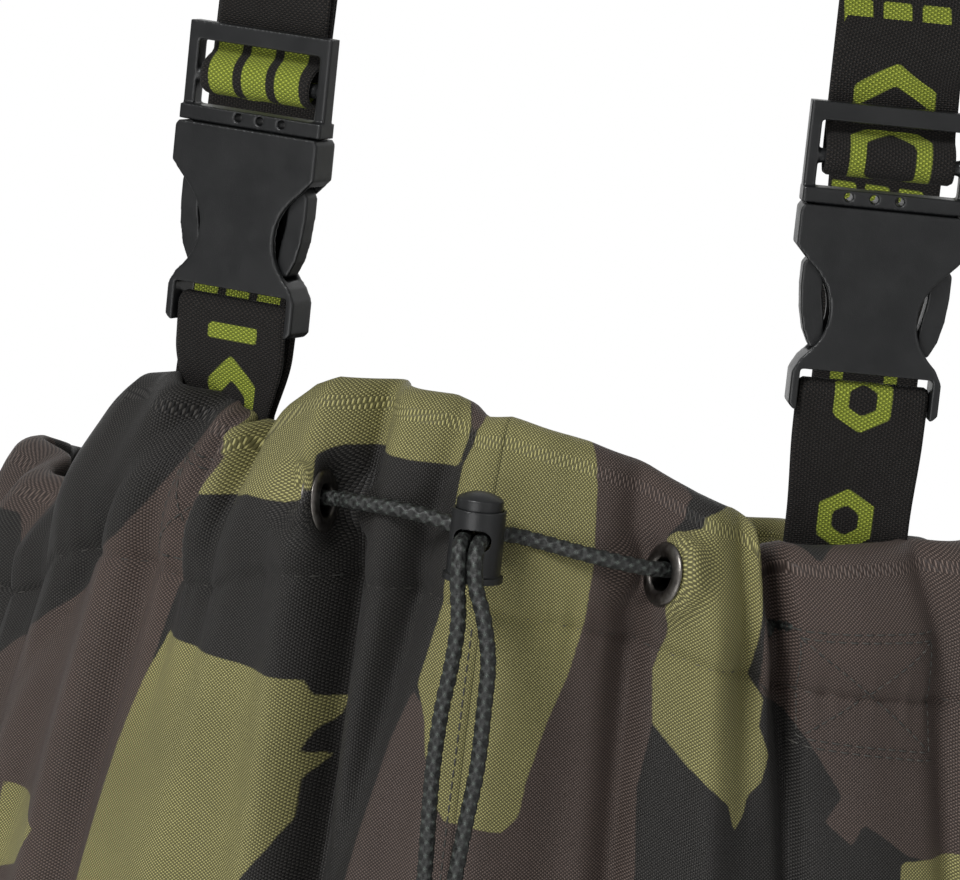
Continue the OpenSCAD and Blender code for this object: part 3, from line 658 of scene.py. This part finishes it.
def eyelet_frame(side):
    """Where an eyelet sits: its centre and the axes across, up and out of the cloth, for either side."""
    x, y, drop, turn = EYELETS[side]
    turn, tilt = math.radians(turn), math.radians(EYELET_TILT)
    flat = np.array([math.sin(turn), -math.cos(turn), 0.0])
    out = flat * math.cos(tilt) - np.array([0, 0, 1.0]) * math.sin(tilt)
    across = np.array([math.cos(turn), math.sin(turn), 0.0])
    up = np.cross(out, across)
    mirror = np.array([side, 1, 1])
    return np.array([x * side, y, height(HEM_H - drop)]), across * mirror, up * mirror, out * mirror


def cloth_at(u, drop, inset=0.0, lift=0.0):
    """Point of the folded cloth at a signed distance round the body and a drop below the hem."""
    u, drop, inset, lift = np.broadcast_arrays(*(np.asarray(v, float) for v in (u, drop, inset, lift)))
    side = np.where(u < 0, -1.0, 1.0)
    t = np.interp(np.abs(u), ARC_U, ARC_T)
    out = fold_height(u, drop) * smooth((1.05 - drop) / 0.5)
    p = surface(t, drop, out - inset + lift)
    p[..., 2] -= hem_sink(u, drop)
    p[..., 0] *= side
    facing = inset > FACING_INSET
    for s in (1, -1):
        centre, _, _, normal = eyelet_frame(s)
        far = np.linalg.norm(p - centre, axis=-1)
        keep = np.where(facing, 0, 1 - smooth((far - EYELET_FLAT) / 0.008))
        p = p - normal * ((((p - centre) @ normal) - lift + inset) * keep)[..., None]
        behind = np.where(facing, 0.012 * (1 - smooth((far - 0.012) / 0.02)), 0)
        p = p + np.array([0, 1.0, 0]) * behind[..., None]
        # The fold's crest stands clear of the rim of the washer behind the eyelet.
        depth = (p - centre) @ normal
        spoke = p - centre - depth[..., None] * normal
        reach = np.linalg.norm(spoke, axis=-1) + 1e-9
        near = smooth((-0.0004 - depth) / 0.0012) * (1 - smooth((-0.0055 - depth) / 0.003))
        near = np.where(facing, 0, near * smooth((reach - 0.006) / 0.002))
        push = near * np.maximum(WASHER_CLEAR - reach, 0)
        p = p + spoke * (push / reach)[..., None]
    return p


# ---------------------------------------------------------------- camouflage

# Patches of the print on the front. Distance round the body and drop below the hem, in mm.
OLIVE_PATCHES = (
    ((-108, -60), (-108, -4), (-104, 9), (-98, 14), (-92, 20), (-95, 31), (-84, 31), (-75, 29), (-64, 30),
     (-58, 25), (-55, 15), (-50, 12), (-35, 13), (-14, 15), (-12, 6), (-16, -4), (-17, -60)),
    ((-101, 74), (-84, 77), (-66, 80), (-50, 82), (-48, 87), (-43, 88), (-44, 94), (-47, 97), (-49, 104),
     (-44, 105), (-48, 112), (-48, 124), (-52, 134), (-58, 146), (-70, 166), (-88, 190), (-104, 200),
     (-114, 184), (-115, 154), (-109, 109), (-105, 88)),
    ((-9, -60), (-8, 4), (-12, 14), (-11, 40), (-12, 56), (-16, 78), (-12, 88), (-10, 98), (-7, 104),
     (-6, 110), (-3, 116), (6, 117), (12, 117), (16, 112), (17, 102), (21, 84), (26, 68), (29, 52),
     (30, 35), (29, 14), (26, 4), (24, -60)),
    ((53, 26), (60, 22), (68, 18), (73, 12), (78, 10), (82, 14), (82, 30), (79, 48), (77, 62), (81, 68),
     (80, 76), (83, 84), (81, 92), (77, 97), (76, 102), (73, 107), (71, 99), (60, 90), (50, 80), (49, 64),
     (53, 50), (55, 38)),
    ((122, 110), (134, 108), (150, 104), (158, 128), (146, 150), (126, 152), (121, 125)),
    ((-156, 128), (-140, 131), (-131, 140), (-138, 152), (-155, 156)),
)
BROWN_PATCHES = (
    ((-114, -60), (-113, -8), (-110, 10), (-113, 20), (-118, 36), (-123, 46), (-138, 60), (-157, 77),
     (-176, 84), (-196, 108), (-188, 148), (-160, 168), (-130, 162), (-114, 154), (-108, 109), (-104, 83),
     (-103, 67), (-101, 51), (-97, 40), (-94, 31), (-91, 20), (-98, 12), (-105, 8), (-108, -4), (-108, -60)),
    ((24, -60), (26, 4), (28, 14), (28, 35), (28, 52), (25, 68), (20, 84), (14, 104), (10, 116), (-4, 114),
     (-9, 100), (-12, 86), (-17, 80), (-22, 96), (-27, 125), (-30, 150), (-24, 178), (-4, 196), (28, 188),
     (44, 160), (48, 125), (47, 100), (50, 80), (49, 64), (53, 50), (55, 38), (53, 26), (58, 16), (50, 2),
     (46, -60)),
    ((84, 24), (90, 21), (100, 30), (108, 20), (150, 4), (186, 20), (190, 80), (160, 112), (124, 108),
     (116, 103), (110, 100), (107, 107), (99, 101), (104, 93), (97, 82), (90, 72), (80, 66), (80, 50)),
    ((-17, -60), (-16, -4), (-11, 7), (-7, 4), (-8, -60)),
)


def inside_distance(a, d, outline):
    """Signed distance in mm to a closed outline, positive inside."""
    pts = np.asarray(outline, float)
    best = np.full(a.shape, 1e9)
    within = np.zeros(a.shape, bool)
    for p, q in zip(pts, np.roll(pts, -1, 0)):
        e = q - p
        k = np.clip(((a - p[0]) * e[0] + (d - p[1]) * e[1]) / (e @ e + 1e-12), 0, 1)
        best = np.minimum(best, np.hypot(a - p[0] - k * e[0], d - p[1] - k * e[1]))
        if p[1] != q[1]:
            cross = (p[1] > d) != (q[1] > d)
            within ^= cross & (a < (q[0] - p[0]) * (d - p[1]) / (q[1] - p[1]) + p[0])
    return np.where(within, best, -best)


def seeded_patches(seed, count, low, high, width=490):
    """Blocky patches with notched edges, for the sides, the back and the legs."""
    rng = np.random.default_rng(seed)
    patches = []
    for _ in range(count):
        centre = np.array([rng.uniform(-width, width), rng.uniform(low, high)])
        corners = rng.integers(9, 15)
        turns = np.sort(rng.uniform(0, 2 * np.pi, corners))
        reach = rng.uniform(34, 66) * rng.uniform(0.5, 1.25, corners)
        patches.append(centre + np.stack([np.cos(turns) * reach * 0.8, np.sin(turns) * reach * 1.15], 1))
    return patches


def print_fields(u, drop, extra_olive, extra_brown, front=True):
    """The two distance fields of the print, in metres."""
    a, d = u * 1000, drop * 1000
    shape = a.shape
    a, d = a.ravel(), d.ravel()
    out = []
    for drawn, extra in ((OLIVE_PATCHES, extra_olive), (BROWN_PATCHES, extra_brown)):
        near = np.full(a.shape, -60.0)
        if front:
            for outline in drawn:
                near = np.maximum(near, inside_distance(a, d, outline))
        far = np.full(a.shape, -60.0)
        for outline in extra:
            middle = np.mean(outline, 0)
            some = np.hypot(a - middle[0], d - middle[1]) < 130
            if some.any():
                far[some] = np.maximum(far[some], inside_distance(a[some], d[some], outline))
        if front:
            away = np.maximum(np.abs(a) - 188, d - 162)
            far = np.minimum(far, away)
        out.append((np.maximum(near, far) / 1000).reshape(shape))
    return out


BODY_OLIVE = seeded_patches(21, 46, -40, 860)
BODY_BROWN = seeded_patches(22, 46, -40, 860)


# ---------------------------------------------------------------- cloth halves

def profile_rows():
    """Rows of the sheet: drop, inset, print drop. They go up the outside, over the roll and down the facing."""
    coarse, fine = ((3, 1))
    outer = np.concatenate([np.arange(800, 210, -5.0 * coarse / 3), np.arange(210, 8, -1.6 * fine)]) / 1000
    rows = [(d, 0.0, d) for d in outer]
    r = FOLD_W / 2
    for angle in np.radians(np.arange(180, -1, -15)):
        rows.append((r - r * math.sin(angle), r + r * math.cos(angle), r * (angle - math.pi / 2)))
    for d in np.arange(0.0065, FACING, 0.0016 * fine):
        close = float(smooth((d - 0.6 * STITCH) / (0.36 * STITCH)))
        rows.append((d, mix(FOLD_W, 0.0038, close), -d))
    return np.array(rows)


def column_places():
    """Distances round the body of the sheet's columns, closer together in front."""
    coarse = 1
    return np.concatenate([np.arange(0, 160, 1.5 * coarse), np.arange(160, HALF_ROUND * 1000 - 1, 3.0 * coarse),
                           [HALF_ROUND * 1000]]) / 1000


def make_cloth_half(side):
    """One half of the bib with its leg down to the knee, as one sheet."""
    name = side_name(side)
    rows, columns = profile_rows(), column_places()
    u = np.broadcast_to(columns * side, (len(rows), len(columns))).copy()
    u[u == 0] = side * 1e-9
    drop = np.broadcast_to(rows[:, :1], u.shape)
    inset = np.broadcast_to(rows[:, 1:2], u.shape)
    points = cloth_at(u, drop, inset)
    printed = rows[:, 2:3] + hem_sink(u, drop)
    olive, brown = print_fields(u, printed, BODY_OLIVE, BODY_BROWN)
    uv = np.stack([u, printed], -1)
    flat = points.reshape(-1, 3)
    faces = grid_faces(len(rows), len(columns), flip=side < 0)
    centres = flat[np.array(faces)].mean(1)
    centre, _, _, normal = eyelet_frame(side)
    rel = centres - centre
    along = rel @ normal
    cut = (np.linalg.norm(rel - along[:, None] * normal, axis=1) < 0.0066) & (np.abs(along) < 0.004)
    faces = [f for f, gone in zip(faces, cut) if not gone]
    piece = add_mesh("cloth_" + name, flat, faces, None, CLOTH, uv.reshape(-1, 2),
                     {"olive": olive.ravel(), "brown": brown.ravel()})
    thicken(piece, -1, lined=True)
    bend_at_hip(piece)
    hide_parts("bib_front_" + name, "bib_back_" + name, "leg_upper_" + name)


for side in SIDES.values():
    make_cloth_half(side)


def make_gusset():
    """Diamond of cloth sewn over the seams between the legs, from the front round under the crotch to the back."""
    low = np.linspace(0.42, 0.515, 30)
    rows = [(d, True) for d in low] + [(d, False) for d in low[::-1] - BACK_DROP]
    across = np.linspace(-1, 1, 25)
    points, uv = [], []
    for k, (drop, front) in enumerate(rows):
        half = 0.002 + 0.034 * math.sin(math.pi * k / (len(rows) - 1))
        off = np.abs(across) * half
        u = np.where(across < 0, -1, 1) * np.maximum(off if front else HALF_ROUND - off, 1e-6)
        row = cloth_at(u, drop, lift=0.0012)
        row[len(across) // 2, 0] = 0
        points.append(row)
        uv.append(np.stack([across * half, np.full(across.shape, k * 0.0066)], -1))
    points, uv = np.array(points), np.array(uv)
    unprinted = np.full(points.shape[0] * points.shape[1], -0.02)
    faces = grid_faces(len(rows), len(across), flip=True)
    piece = add_mesh("cloth_gusset", points.reshape(-1, 3), faces, "root", CLOTH, uv.reshape(-1, 2),
                     {"olive": unprinted, "brown": unprinted})
    thicken(piece, 0)
    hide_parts("crotch_gusset")


def make_casing_cord():
    """The drawcord's hidden run round inside the casing, from eyelet to eyelet."""
    share = np.linspace(0, 1, 90)
    sides = {}
    for side in SIDES.values():
        end = np.array([v / 1000 for v in CORD_ROUTES[side][0]]) * (side, 1, 1) + (0, 0, height(HEM_H))
        u = side * mix(0.074, HALF_ROUND - 1e-6, share)
        run = cloth_at(u, 0.027, FOLD_W / 2)
        sides[side] = np.concatenate([[end], run])
    path = np.concatenate([sides[1], sides[-1][::-1][1:]])
    piece, _ = braid("drawcord_casing_run", path, "root")
    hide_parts("drawcord_in_casing")


make_gusset()
make_casing_cord()


# ---------------------------------------------------------------- eyelets

def make_eyelet(side):
    """Rolled metal eyelet, turned from one profile, in the flank of its fold."""
    profile = ((5.0, -3.2), (5.0, 0.5), (5.2, 1.0), (5.7, 1.4), (6.5, 1.6), (7.5, 1.5), (8.4, 1.2), (9.1, 0.8),
               (9.4, 0.4), (9.3, 0.15), (9.0, 0.1), (6.0, 0.1), (5.8, -0.1), (5.8, -3.2))
    centre, across, up, out = eyelet_frame(side)
    ring = np.array(profile) / 1000
    steps = 72
    angle = np.linspace(0, 2 * np.pi, steps, endpoint=False)
    spokes = np.cos(angle)[:, None, None] * across + np.sin(angle)[:, None, None] * up
    points = centre + ring[None, :, :1] * spokes + ring[None, :, 1:] * out
    count = len(ring)
    faces = []
    for a in range(steps):
        for k in range(count):
            b, m = (a + 1) % steps, (k + 1) % count
            quad = (a * count + k, b * count + k, b * count + m, a * count + m)
            faces.append(quad if side > 0 else quad[::-1])
    name = side_name(side)
    piece = add_mesh("eyelet_rim_" + name, points.reshape(-1, 3), faces, "root", GUNMETAL)
    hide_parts("eyelet_" + name)


# ---------------------------------------------------------------- webbing

STRAP_X, STRAP_Y, STRAP_H, STRAP_TURN = 0.095, -0.07, HEM_H - 0.008, math.radians(16)
HOUSING = 0.018                         # the housing starts this far up the strap


def strap_point(side, u, v, w):
    """Row-frame point from a strap's own axes: across, inwards and up, in metres."""
    c, s = math.cos(STRAP_TURN), math.sin(STRAP_TURN)
    return np.stack([(STRAP_X + u * c - v * s) * side, STRAP_Y + u * s + v * c, height(STRAP_H + w)], -1)


def hexagon(a, s, half_a, half_s):
    """Signed distance inside an upright stretched hexagon."""
    return half_a - np.maximum(np.abs(a), np.abs(a) * 0.5 + np.abs(s) * half_a / half_s)


def hexagon_ring(a, s, half_a, half_s, line):
    shape = hexagon(a, s, half_a, half_s)
    return np.minimum(shape, line - shape)


def bar(a, s, half_a, half_s, lean=0.0):
    return np.minimum(half_a - np.abs(a - lean * s), half_s - np.abs(s))


def webbing_pattern(a, s):
    """Plain woven-in figures, repeated along the webbing: slanted bars, a hollow hexagon and a chevron. Metres."""
    a, s = a * 1000, s * 1000
    repeat = 112.0
    s = (s + repeat / 2) % repeat - repeat / 2
    out = np.full(a.shape, -30.0)
    for k in (-1, 0, 1):
        out = np.maximum(out, bar(a - k * 11.5, s, 4.2, 16, 0.12))
    out = np.maximum(out, hexagon_ring(a, s - 44, 12, 16, 4.6))
    out = np.maximum(out, np.minimum(3.2 - np.abs(s + 40 + np.abs(a) * 0.6), 12 - np.abs(a)))
    return out / 1000


def ribbon(name, path, across, normal, width, body, pattern, scale=None, arch=None):
    """Closed webbing along a path, with rounded edges. pattern(a, s) is its woven-in figure."""
    thick = 0.0016
    columns = 34
    a = np.linspace(-1, 1, columns)
    edge = np.sqrt(np.clip(1 - np.clip((np.abs(a) - 0.96) / 0.04, 0, 1) ** 2, 0.02, 1))
    front = np.stack([a * width / 2, edge * thick / 2], 1)
    ring = np.concatenate([front, front[::-1] * (1, -1)])
    s = lengths_along(path)
    scale = np.ones(len(path)) if scale is None else scale
    arch = np.zeros(len(path)) if arch is None else arch
    bow = (1 - (ring[:, 0] / (width / 2)) ** 2)[None, :, None] * arch[:, None, None]
    points = (path[:, None] + across[:, None] * (ring[None, :, :1] * scale[:, None, None])
              + normal[:, None] * (ring[None, :, 1:] + bow))
    count = len(ring)
    faces = grid_faces(len(path), count, closed=True)
    total = len(path) * count
    faces += [tuple(range(count))[::-1], tuple(range(total - count, total))]
    face_a = np.broadcast_to(ring[:, 0], (len(path), count))
    along = np.broadcast_to(s[:, None], face_a.shape)
    lime = pattern(face_a, along)
    uv = np.stack([face_a, along], -1)
    piece = add_mesh(name, points.reshape(-1, 3), faces, body, WEBBING, uv.reshape(-1, 2),
                     {"lime": lime.ravel()})
    return piece, float(s[-1])


def make_front_strap(side):
    """Doubled webbing from inside the hem, round the bar of the housing and back."""
    name = side_name(side)
    bar_w, radius = HOUSING + 0.005, 0.0033
    turn = np.linspace(math.pi, 0, 16)
    front = [(-0.0011 - 0.0022 * t ** 2, -0.040 + (bar_w + 0.040) * t) for t in np.linspace(0, 1, 40)]
    loop = [(radius * math.cos(k), bar_w + radius * math.sin(k)) for k in turn]
    back = [(-v, w) for v, w in front[::-1]]
    vw = np.array(front[:-1] + loop + back[1:])
    # Where it goes into the gathered hem the webbing is drawn together, more on the wearer's right.
    low = smooth((0.012 - vw[:, 1]) / 0.026)
    scale = 1 - (0.3 if side < 0 else 0.05) * low
    shift = (-0.001 if side < 0 else 0.0) * low
    path = strap_point(side, shift, vw[:, 0], vw[:, 1])
    across = np.broadcast_to(strap_point(side, 1.0, 0, 0) - strap_point(side, 0.0, 0, 0), path.shape)
    t = np.gradient(path, axis=0)
    normal = np.cross(across, t) * -side
    normal /= np.linalg.norm(normal, axis=1)[:, None]
    arch = 0.0035 * low * (1 if side < 0 else 0.3)

    def figure(a, s):
        a, s = a * 1000, s * 1000
        if side < 0:
            shape = np.maximum(hexagon_ring(a + 1, s - 33, 9.5, 17, 4.2), bar(a + 1, s - 57, 8.5, 2.4))
            return np.maximum(shape, hexagon_ring(a - 4, s - 100, 11, 15, 4.6)) / 1000
        shape = np.maximum(hexagon_ring(a, s - 62, 8.5, 9.5, 4.4), hexagon_ring(a + 1, s - 26, 8.5, 9.5, 4.4))
        return np.maximum(shape, hexagon_ring(a, s - 100, 11, 12, 4.4)) / 1000

    piece, length = ribbon("front_strap_web_" + name, path, across, normal, 0.038, "root", figure, scale=scale,
                           arch=arch * (np.arange(len(path)) < len(front)))
    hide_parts("front_strap_" + name)


# Path of a brace: first [inwards, up] in the buckle's frame, then x, y, height over the shoulder. In mm.
ADJUSTER = ((7.2, 150), (6.9, 120), (6.4, 92), (6.2, 82), (5.6, 75), (3.6, 70.4), (0.6, 69.3), (-2.4, 71),
            (-3.4, 74), (-2.6, 77.2), (-0.2, 79.4), (2.6, 81), (3.9, 84), (4.2, 90), (4.3, 100))
RISE = ((95, -62, 1450), (94, -56, 1490), (91, -44, 1550), (88, -26, 1599), (86, -12, 1615), (85, 0, 1620))
BACK = {
    1: ((84.5, 12, 1616), (83, 28, 1600), (80, 48, 1560), (77, 62, 1510), (74.4, 70, 1460), (74, 73, 1420),
        (74.2, 74, 1380), (75, 73.5, 1340), (75.4, 72, 1300), (75.5, 71, 1265), (75.5, 71, 1222)),
    -1: ((88, 10, 1616.5), (96, 26, 1602), (110, 46, 1562), (121, 62, 1512), (128, 72, 1460), (128.4, 70, 1420),
         (128.4, 66, 1380), (129, 60, 1340), (128.4, 53, 1300), (128, 46.5, 1265), (127.5, 46, 1222)),
}
BACK_TURN = {1: math.radians(20), -1: math.radians(43)}


def make_brace(side):
    """Elastic brace from its tail behind the buckle, over the adjuster's bar and the shoulder, to the back hem."""
    name = side_name(side)
    low = strap_point(side, 0.0, *(np.array(ADJUSTER).T / 1000 + np.array([[0], [HOUSING]])))
    high = np.array([(x * side / 1000, y / 1000, height(z / 1000)) for x, y, z in RISE + BACK[side]])
    knots = np.concatenate([low, high])
    path, _ = resample(spline(knots, 10), 0.0018)
    bar_point = strap_point(side, 0.0, np.array(-0.0034), np.array(0.074 + HOUSING))
    s = lengths_along(path)
    over = s[np.argmin(np.linalg.norm(path - bar_point, axis=1))]
    t = np.gradient(path, axis=0)
    t /= np.linalg.norm(t, axis=1)[:, None]
    h = path[:, 2] + HANG
    strap_across = np.array([math.cos(STRAP_TURN) * side, math.sin(STRAP_TURN), 0])
    rise = smooth((h - 1.45) / 0.16)[:, None]
    turn = BACK_TURN[side] * smooth((1.5 - h) / 0.2)
    across = np.where(path[:, 1:2] < 0.005, mix(strap_across, np.array([side, 0, 0]), rise),
                      np.stack([np.cos(turn) * side, -np.sin(turn), 0 * turn], 1))
    across = across - t * np.sum(across * t, 1)[:, None]
    across /= np.linalg.norm(across, axis=1)[:, None]
    normal = np.cross(across, t) * -side

    def figure(a, s):
        return webbing_pattern(a, s - over + (0.0 if side < 0 else 0.044))

    piece, length = ribbon("brace_web_" + name, path, across, normal, 0.038, None, figure)
    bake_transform(piece)
    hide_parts("brace_" + name)


# ---------------------------------------------------------------- stitching

def stitches(name, lines):
    """Raised thread dashes sewn along lines on the cloth. A line is a list of (distance round, drop) in mm."""
    pitch, share, wide = 0.0034, 0.7, 0.00026
    points, faces = [], []
    for line in lines:
        path, _ = resample(np.array([(u, d, 0) for u, d in line], float) / 1000, pitch / 4)
        at = lengths_along(path)
        for k in range(int(at[-1] / pitch)):
            ends = np.array([k * pitch, k * pitch + pitch * share * 0.33, k * pitch + pitch * share * 0.67,
                             k * pitch + pitch * share])
            u = np.interp(ends, at, path[:, 0])
            d = np.interp(ends, at, path[:, 1])
            spine = cloth_at(u * 1.0, d, 0, np.array([-0.0001, 0.00022, 0.00022, -0.0001]))
            near = cloth_at(u[:1] + 0.0005, d[:1])[0] - cloth_at(u[:1], d[:1])[0]
            down = cloth_at(u[:1], d[:1] + 0.0005)[0] - cloth_at(u[:1], d[:1])[0]
            up = np.cross(down, near)
            up /= np.linalg.norm(up)
            way = spine[-1] - spine[0]
            off = np.cross(up, way)
            off *= wide / np.linalg.norm(off)
            base = len(points)
            for p in spine:
                points += [p + off, p + up * wide, p - off, p - up * wide]
            for r in range(3):
                for c in range(4):
                    q = (c + 1) % 4
                    faces.append((base + r * 4 + c, base + r * 4 + q, base + r * 4 + 4 + q, base + r * 4 + 4 + c))
            faces += [(base + 3, base + 2, base + 1, base), (base + 12, base + 13, base + 14, base + 15)]
    return add_mesh(name, points, faces, None, THREADS)


def box_cross(left, right, top, low):
    """Stitch lines of a crossed box."""
    ring = ((left, top), (right, top), (right, low), (left, low), (left, top))
    return [ring, ((left, top), (right, low)), ((right, top), (left, low))]


def make_stitching(side):
    """The casing's seam, the crossed box at the strap and, on the wearer's right, the seam down the front."""
    reach = np.arange(2, 474, 4)
    lines = [[(side * u, STITCH * 1000) for u in reach]]
    if side > 0:
        lines += box_cross(92, 132, 30, 74)
        lines += [((90, 27), (136, 27)), ((90, 77), (136, 77))]
    else:
        lines.append([(-2, d) for d in np.arange(60, 470, 6)])
        lines += box_cross(-113, -97, 18, 48)
        lines += [((-115, 15), (-97, 15))]
    piece = stitches("stitching_" + side_name(side), lines)
    bend_at_hip(piece)


# ---------------------------------------------------------------- lower legs

def make_lower_leg(side):
    """Leg cloth from above the knee down into the boot's taped seam."""
    name = side_name(side)
    rng = np.random.default_rng(40 + side)
    heights = np.arange(0.575, 0.302, -0.004)
    angle = np.linspace(0, 2 * np.pi, 181)
    h, a = np.meshgrid(heights, angle, indexing="ij")
    r = np.interp(h, [0.3, 0.316, 0.34, 0.39, 0.5, 0.56, 0.6],
                  [0.0705, 0.0712, 0.0735, 0.0765, 0.0835, 0.0868, 0.0885])
    for _ in range(9):
        centre, phase, size = rng.uniform(0.33, 0.56), rng.uniform(0, 6.28), rng.uniform(0.0009, 0.0022)
        slope, wide = rng.uniform(-0.02, 0.02), rng.uniform(0.008, 0.016)
        crease = np.exp(-((h - centre - slope * np.sin(a + phase)) / wide) ** 2)
        r = r + size * crease * (0.5 + 0.5 * np.cos(a - phase)) ** 2
    r = r + 0.0012 * np.sin(5 * a + 20 * h + side) * smooth((h - 0.31) / 0.04)
    x = side * LEG_X + r * np.sin(a)
    y = -r * np.cos(a)
    points = np.stack([x, y, h - HANG], -1)
    u, drop = a * 0.083, HEM_H - h
    patches = [[outline + (260, 0) for outline in group[side]] for group in (LEG_OLIVE, LEG_BROWN)]
    olive, brown = print_fields(u, drop, *patches, front=False)
    uv = np.stack([u, drop], -1)
    faces = grid_faces(len(heights), len(angle), flip=True)
    piece = add_mesh("cloth_shin_" + name, points.reshape(-1, 3), faces, None, CLOTH, uv.reshape(-1, 2),
                     {"olive": olive.ravel(), "brown": brown.ravel()})
    thicken(piece, -1, lined=True)
    x = side * LEG_X
    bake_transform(piece)
    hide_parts("leg_lower_" + name)


# Print of the lower legs, by side: seeds, number of patches, and where they lie in mm below the front hem.
LEG_OLIVE = {1: seeded_patches(31, 9, 700, 1060, 260), -1: seeded_patches(32, 9, 700, 1060, 260)}
LEG_BROWN = {1: seeded_patches(33, 9, 700, 1060, 260), -1: seeded_patches(34, 9, 700, 1060, 260)}

for side in SIDES.values():
    make_eyelet(side)
    make_front_strap(side)
    make_brace(side)
    make_stitching(side)
    make_lower_leg(side)

# ---------------------------------------------------------------- stage and light


def add_light(name, energy, place, target, size, tint=(1, 1, 1)):
    data = bpy.data.lights.new(name, "AREA")
    data.energy = energy
    data.size = size
    data.color = tint
    lamp = bpy.data.objects.new(name, data)
    lamp.location = place
    lamp.rotation_euler = (Vector(target) - Vector(place)).to_track_quat("-Z", "Y").to_euler()
    bpy.context.scene.collection.objects.link(lamp)


def make_studio():
    """Pale floor below the hanging boots, white surroundings and soft lamps."""
    floor_gap = 0.02
    mesh = bpy.data.meshes.new("floor")
    reach = 6
    z = -HANG - floor_gap
    mesh.from_pydata([(-reach, -reach, z), (reach, -reach, z), (reach, reach, z), (-reach, reach, z)], [],
                     [(0, 1, 2, 3)])
    floor = bpy.data.objects.new("floor", mesh)
    bpy.context.scene.collection.objects.link(floor)
    n = Nodes("floor")
    n.set(Base_Color=(0.86, 0.86, 0.85, 1), Roughness=0.85)
    mesh.materials.append(n.material)
    world = bpy.data.worlds.new("studio")
    bpy.context.scene.world = world
    world.use_nodes = True
    tree = world.node_tree
    coordinates = tree.nodes.new("ShaderNodeTexCoord")
    axes = tree.nodes.new("ShaderNodeSeparateXYZ")
    wall = tree.nodes.new("ShaderNodeMapRange")
    wall.interpolation_type = "SMOOTHSTEP"
    tree.links.new(coordinates.outputs["Generated"], axes.inputs[0])
    tree.links.new(axes.outputs["Y"], wall.inputs[0])
    for socket, value in ((1, 0.5), (2, 0.93), (3, 0.3), (4, 1.0)):
        wall.inputs[socket].default_value = value
    tree.links.new(wall.outputs[0], tree.nodes["Background"].inputs["Strength"])
    tree.nodes["Background"].inputs["Color"].default_value = (1, 1, 1, 1)
    middle = (0, 0, height(1.3))
    add_light("key", 34, (-0.8, -1.7, 1.2), middle, 0.7)
    add_light("fill", 6, (1.9, -1.6, 0.1), middle, 1.4)
    add_light("low", 18, (-0.6, -2.4, -1.0), (0, 0, height(0.5)), 1.4)


make_studio()
bpy.context.scene.view_settings.view_transform = "Standard"
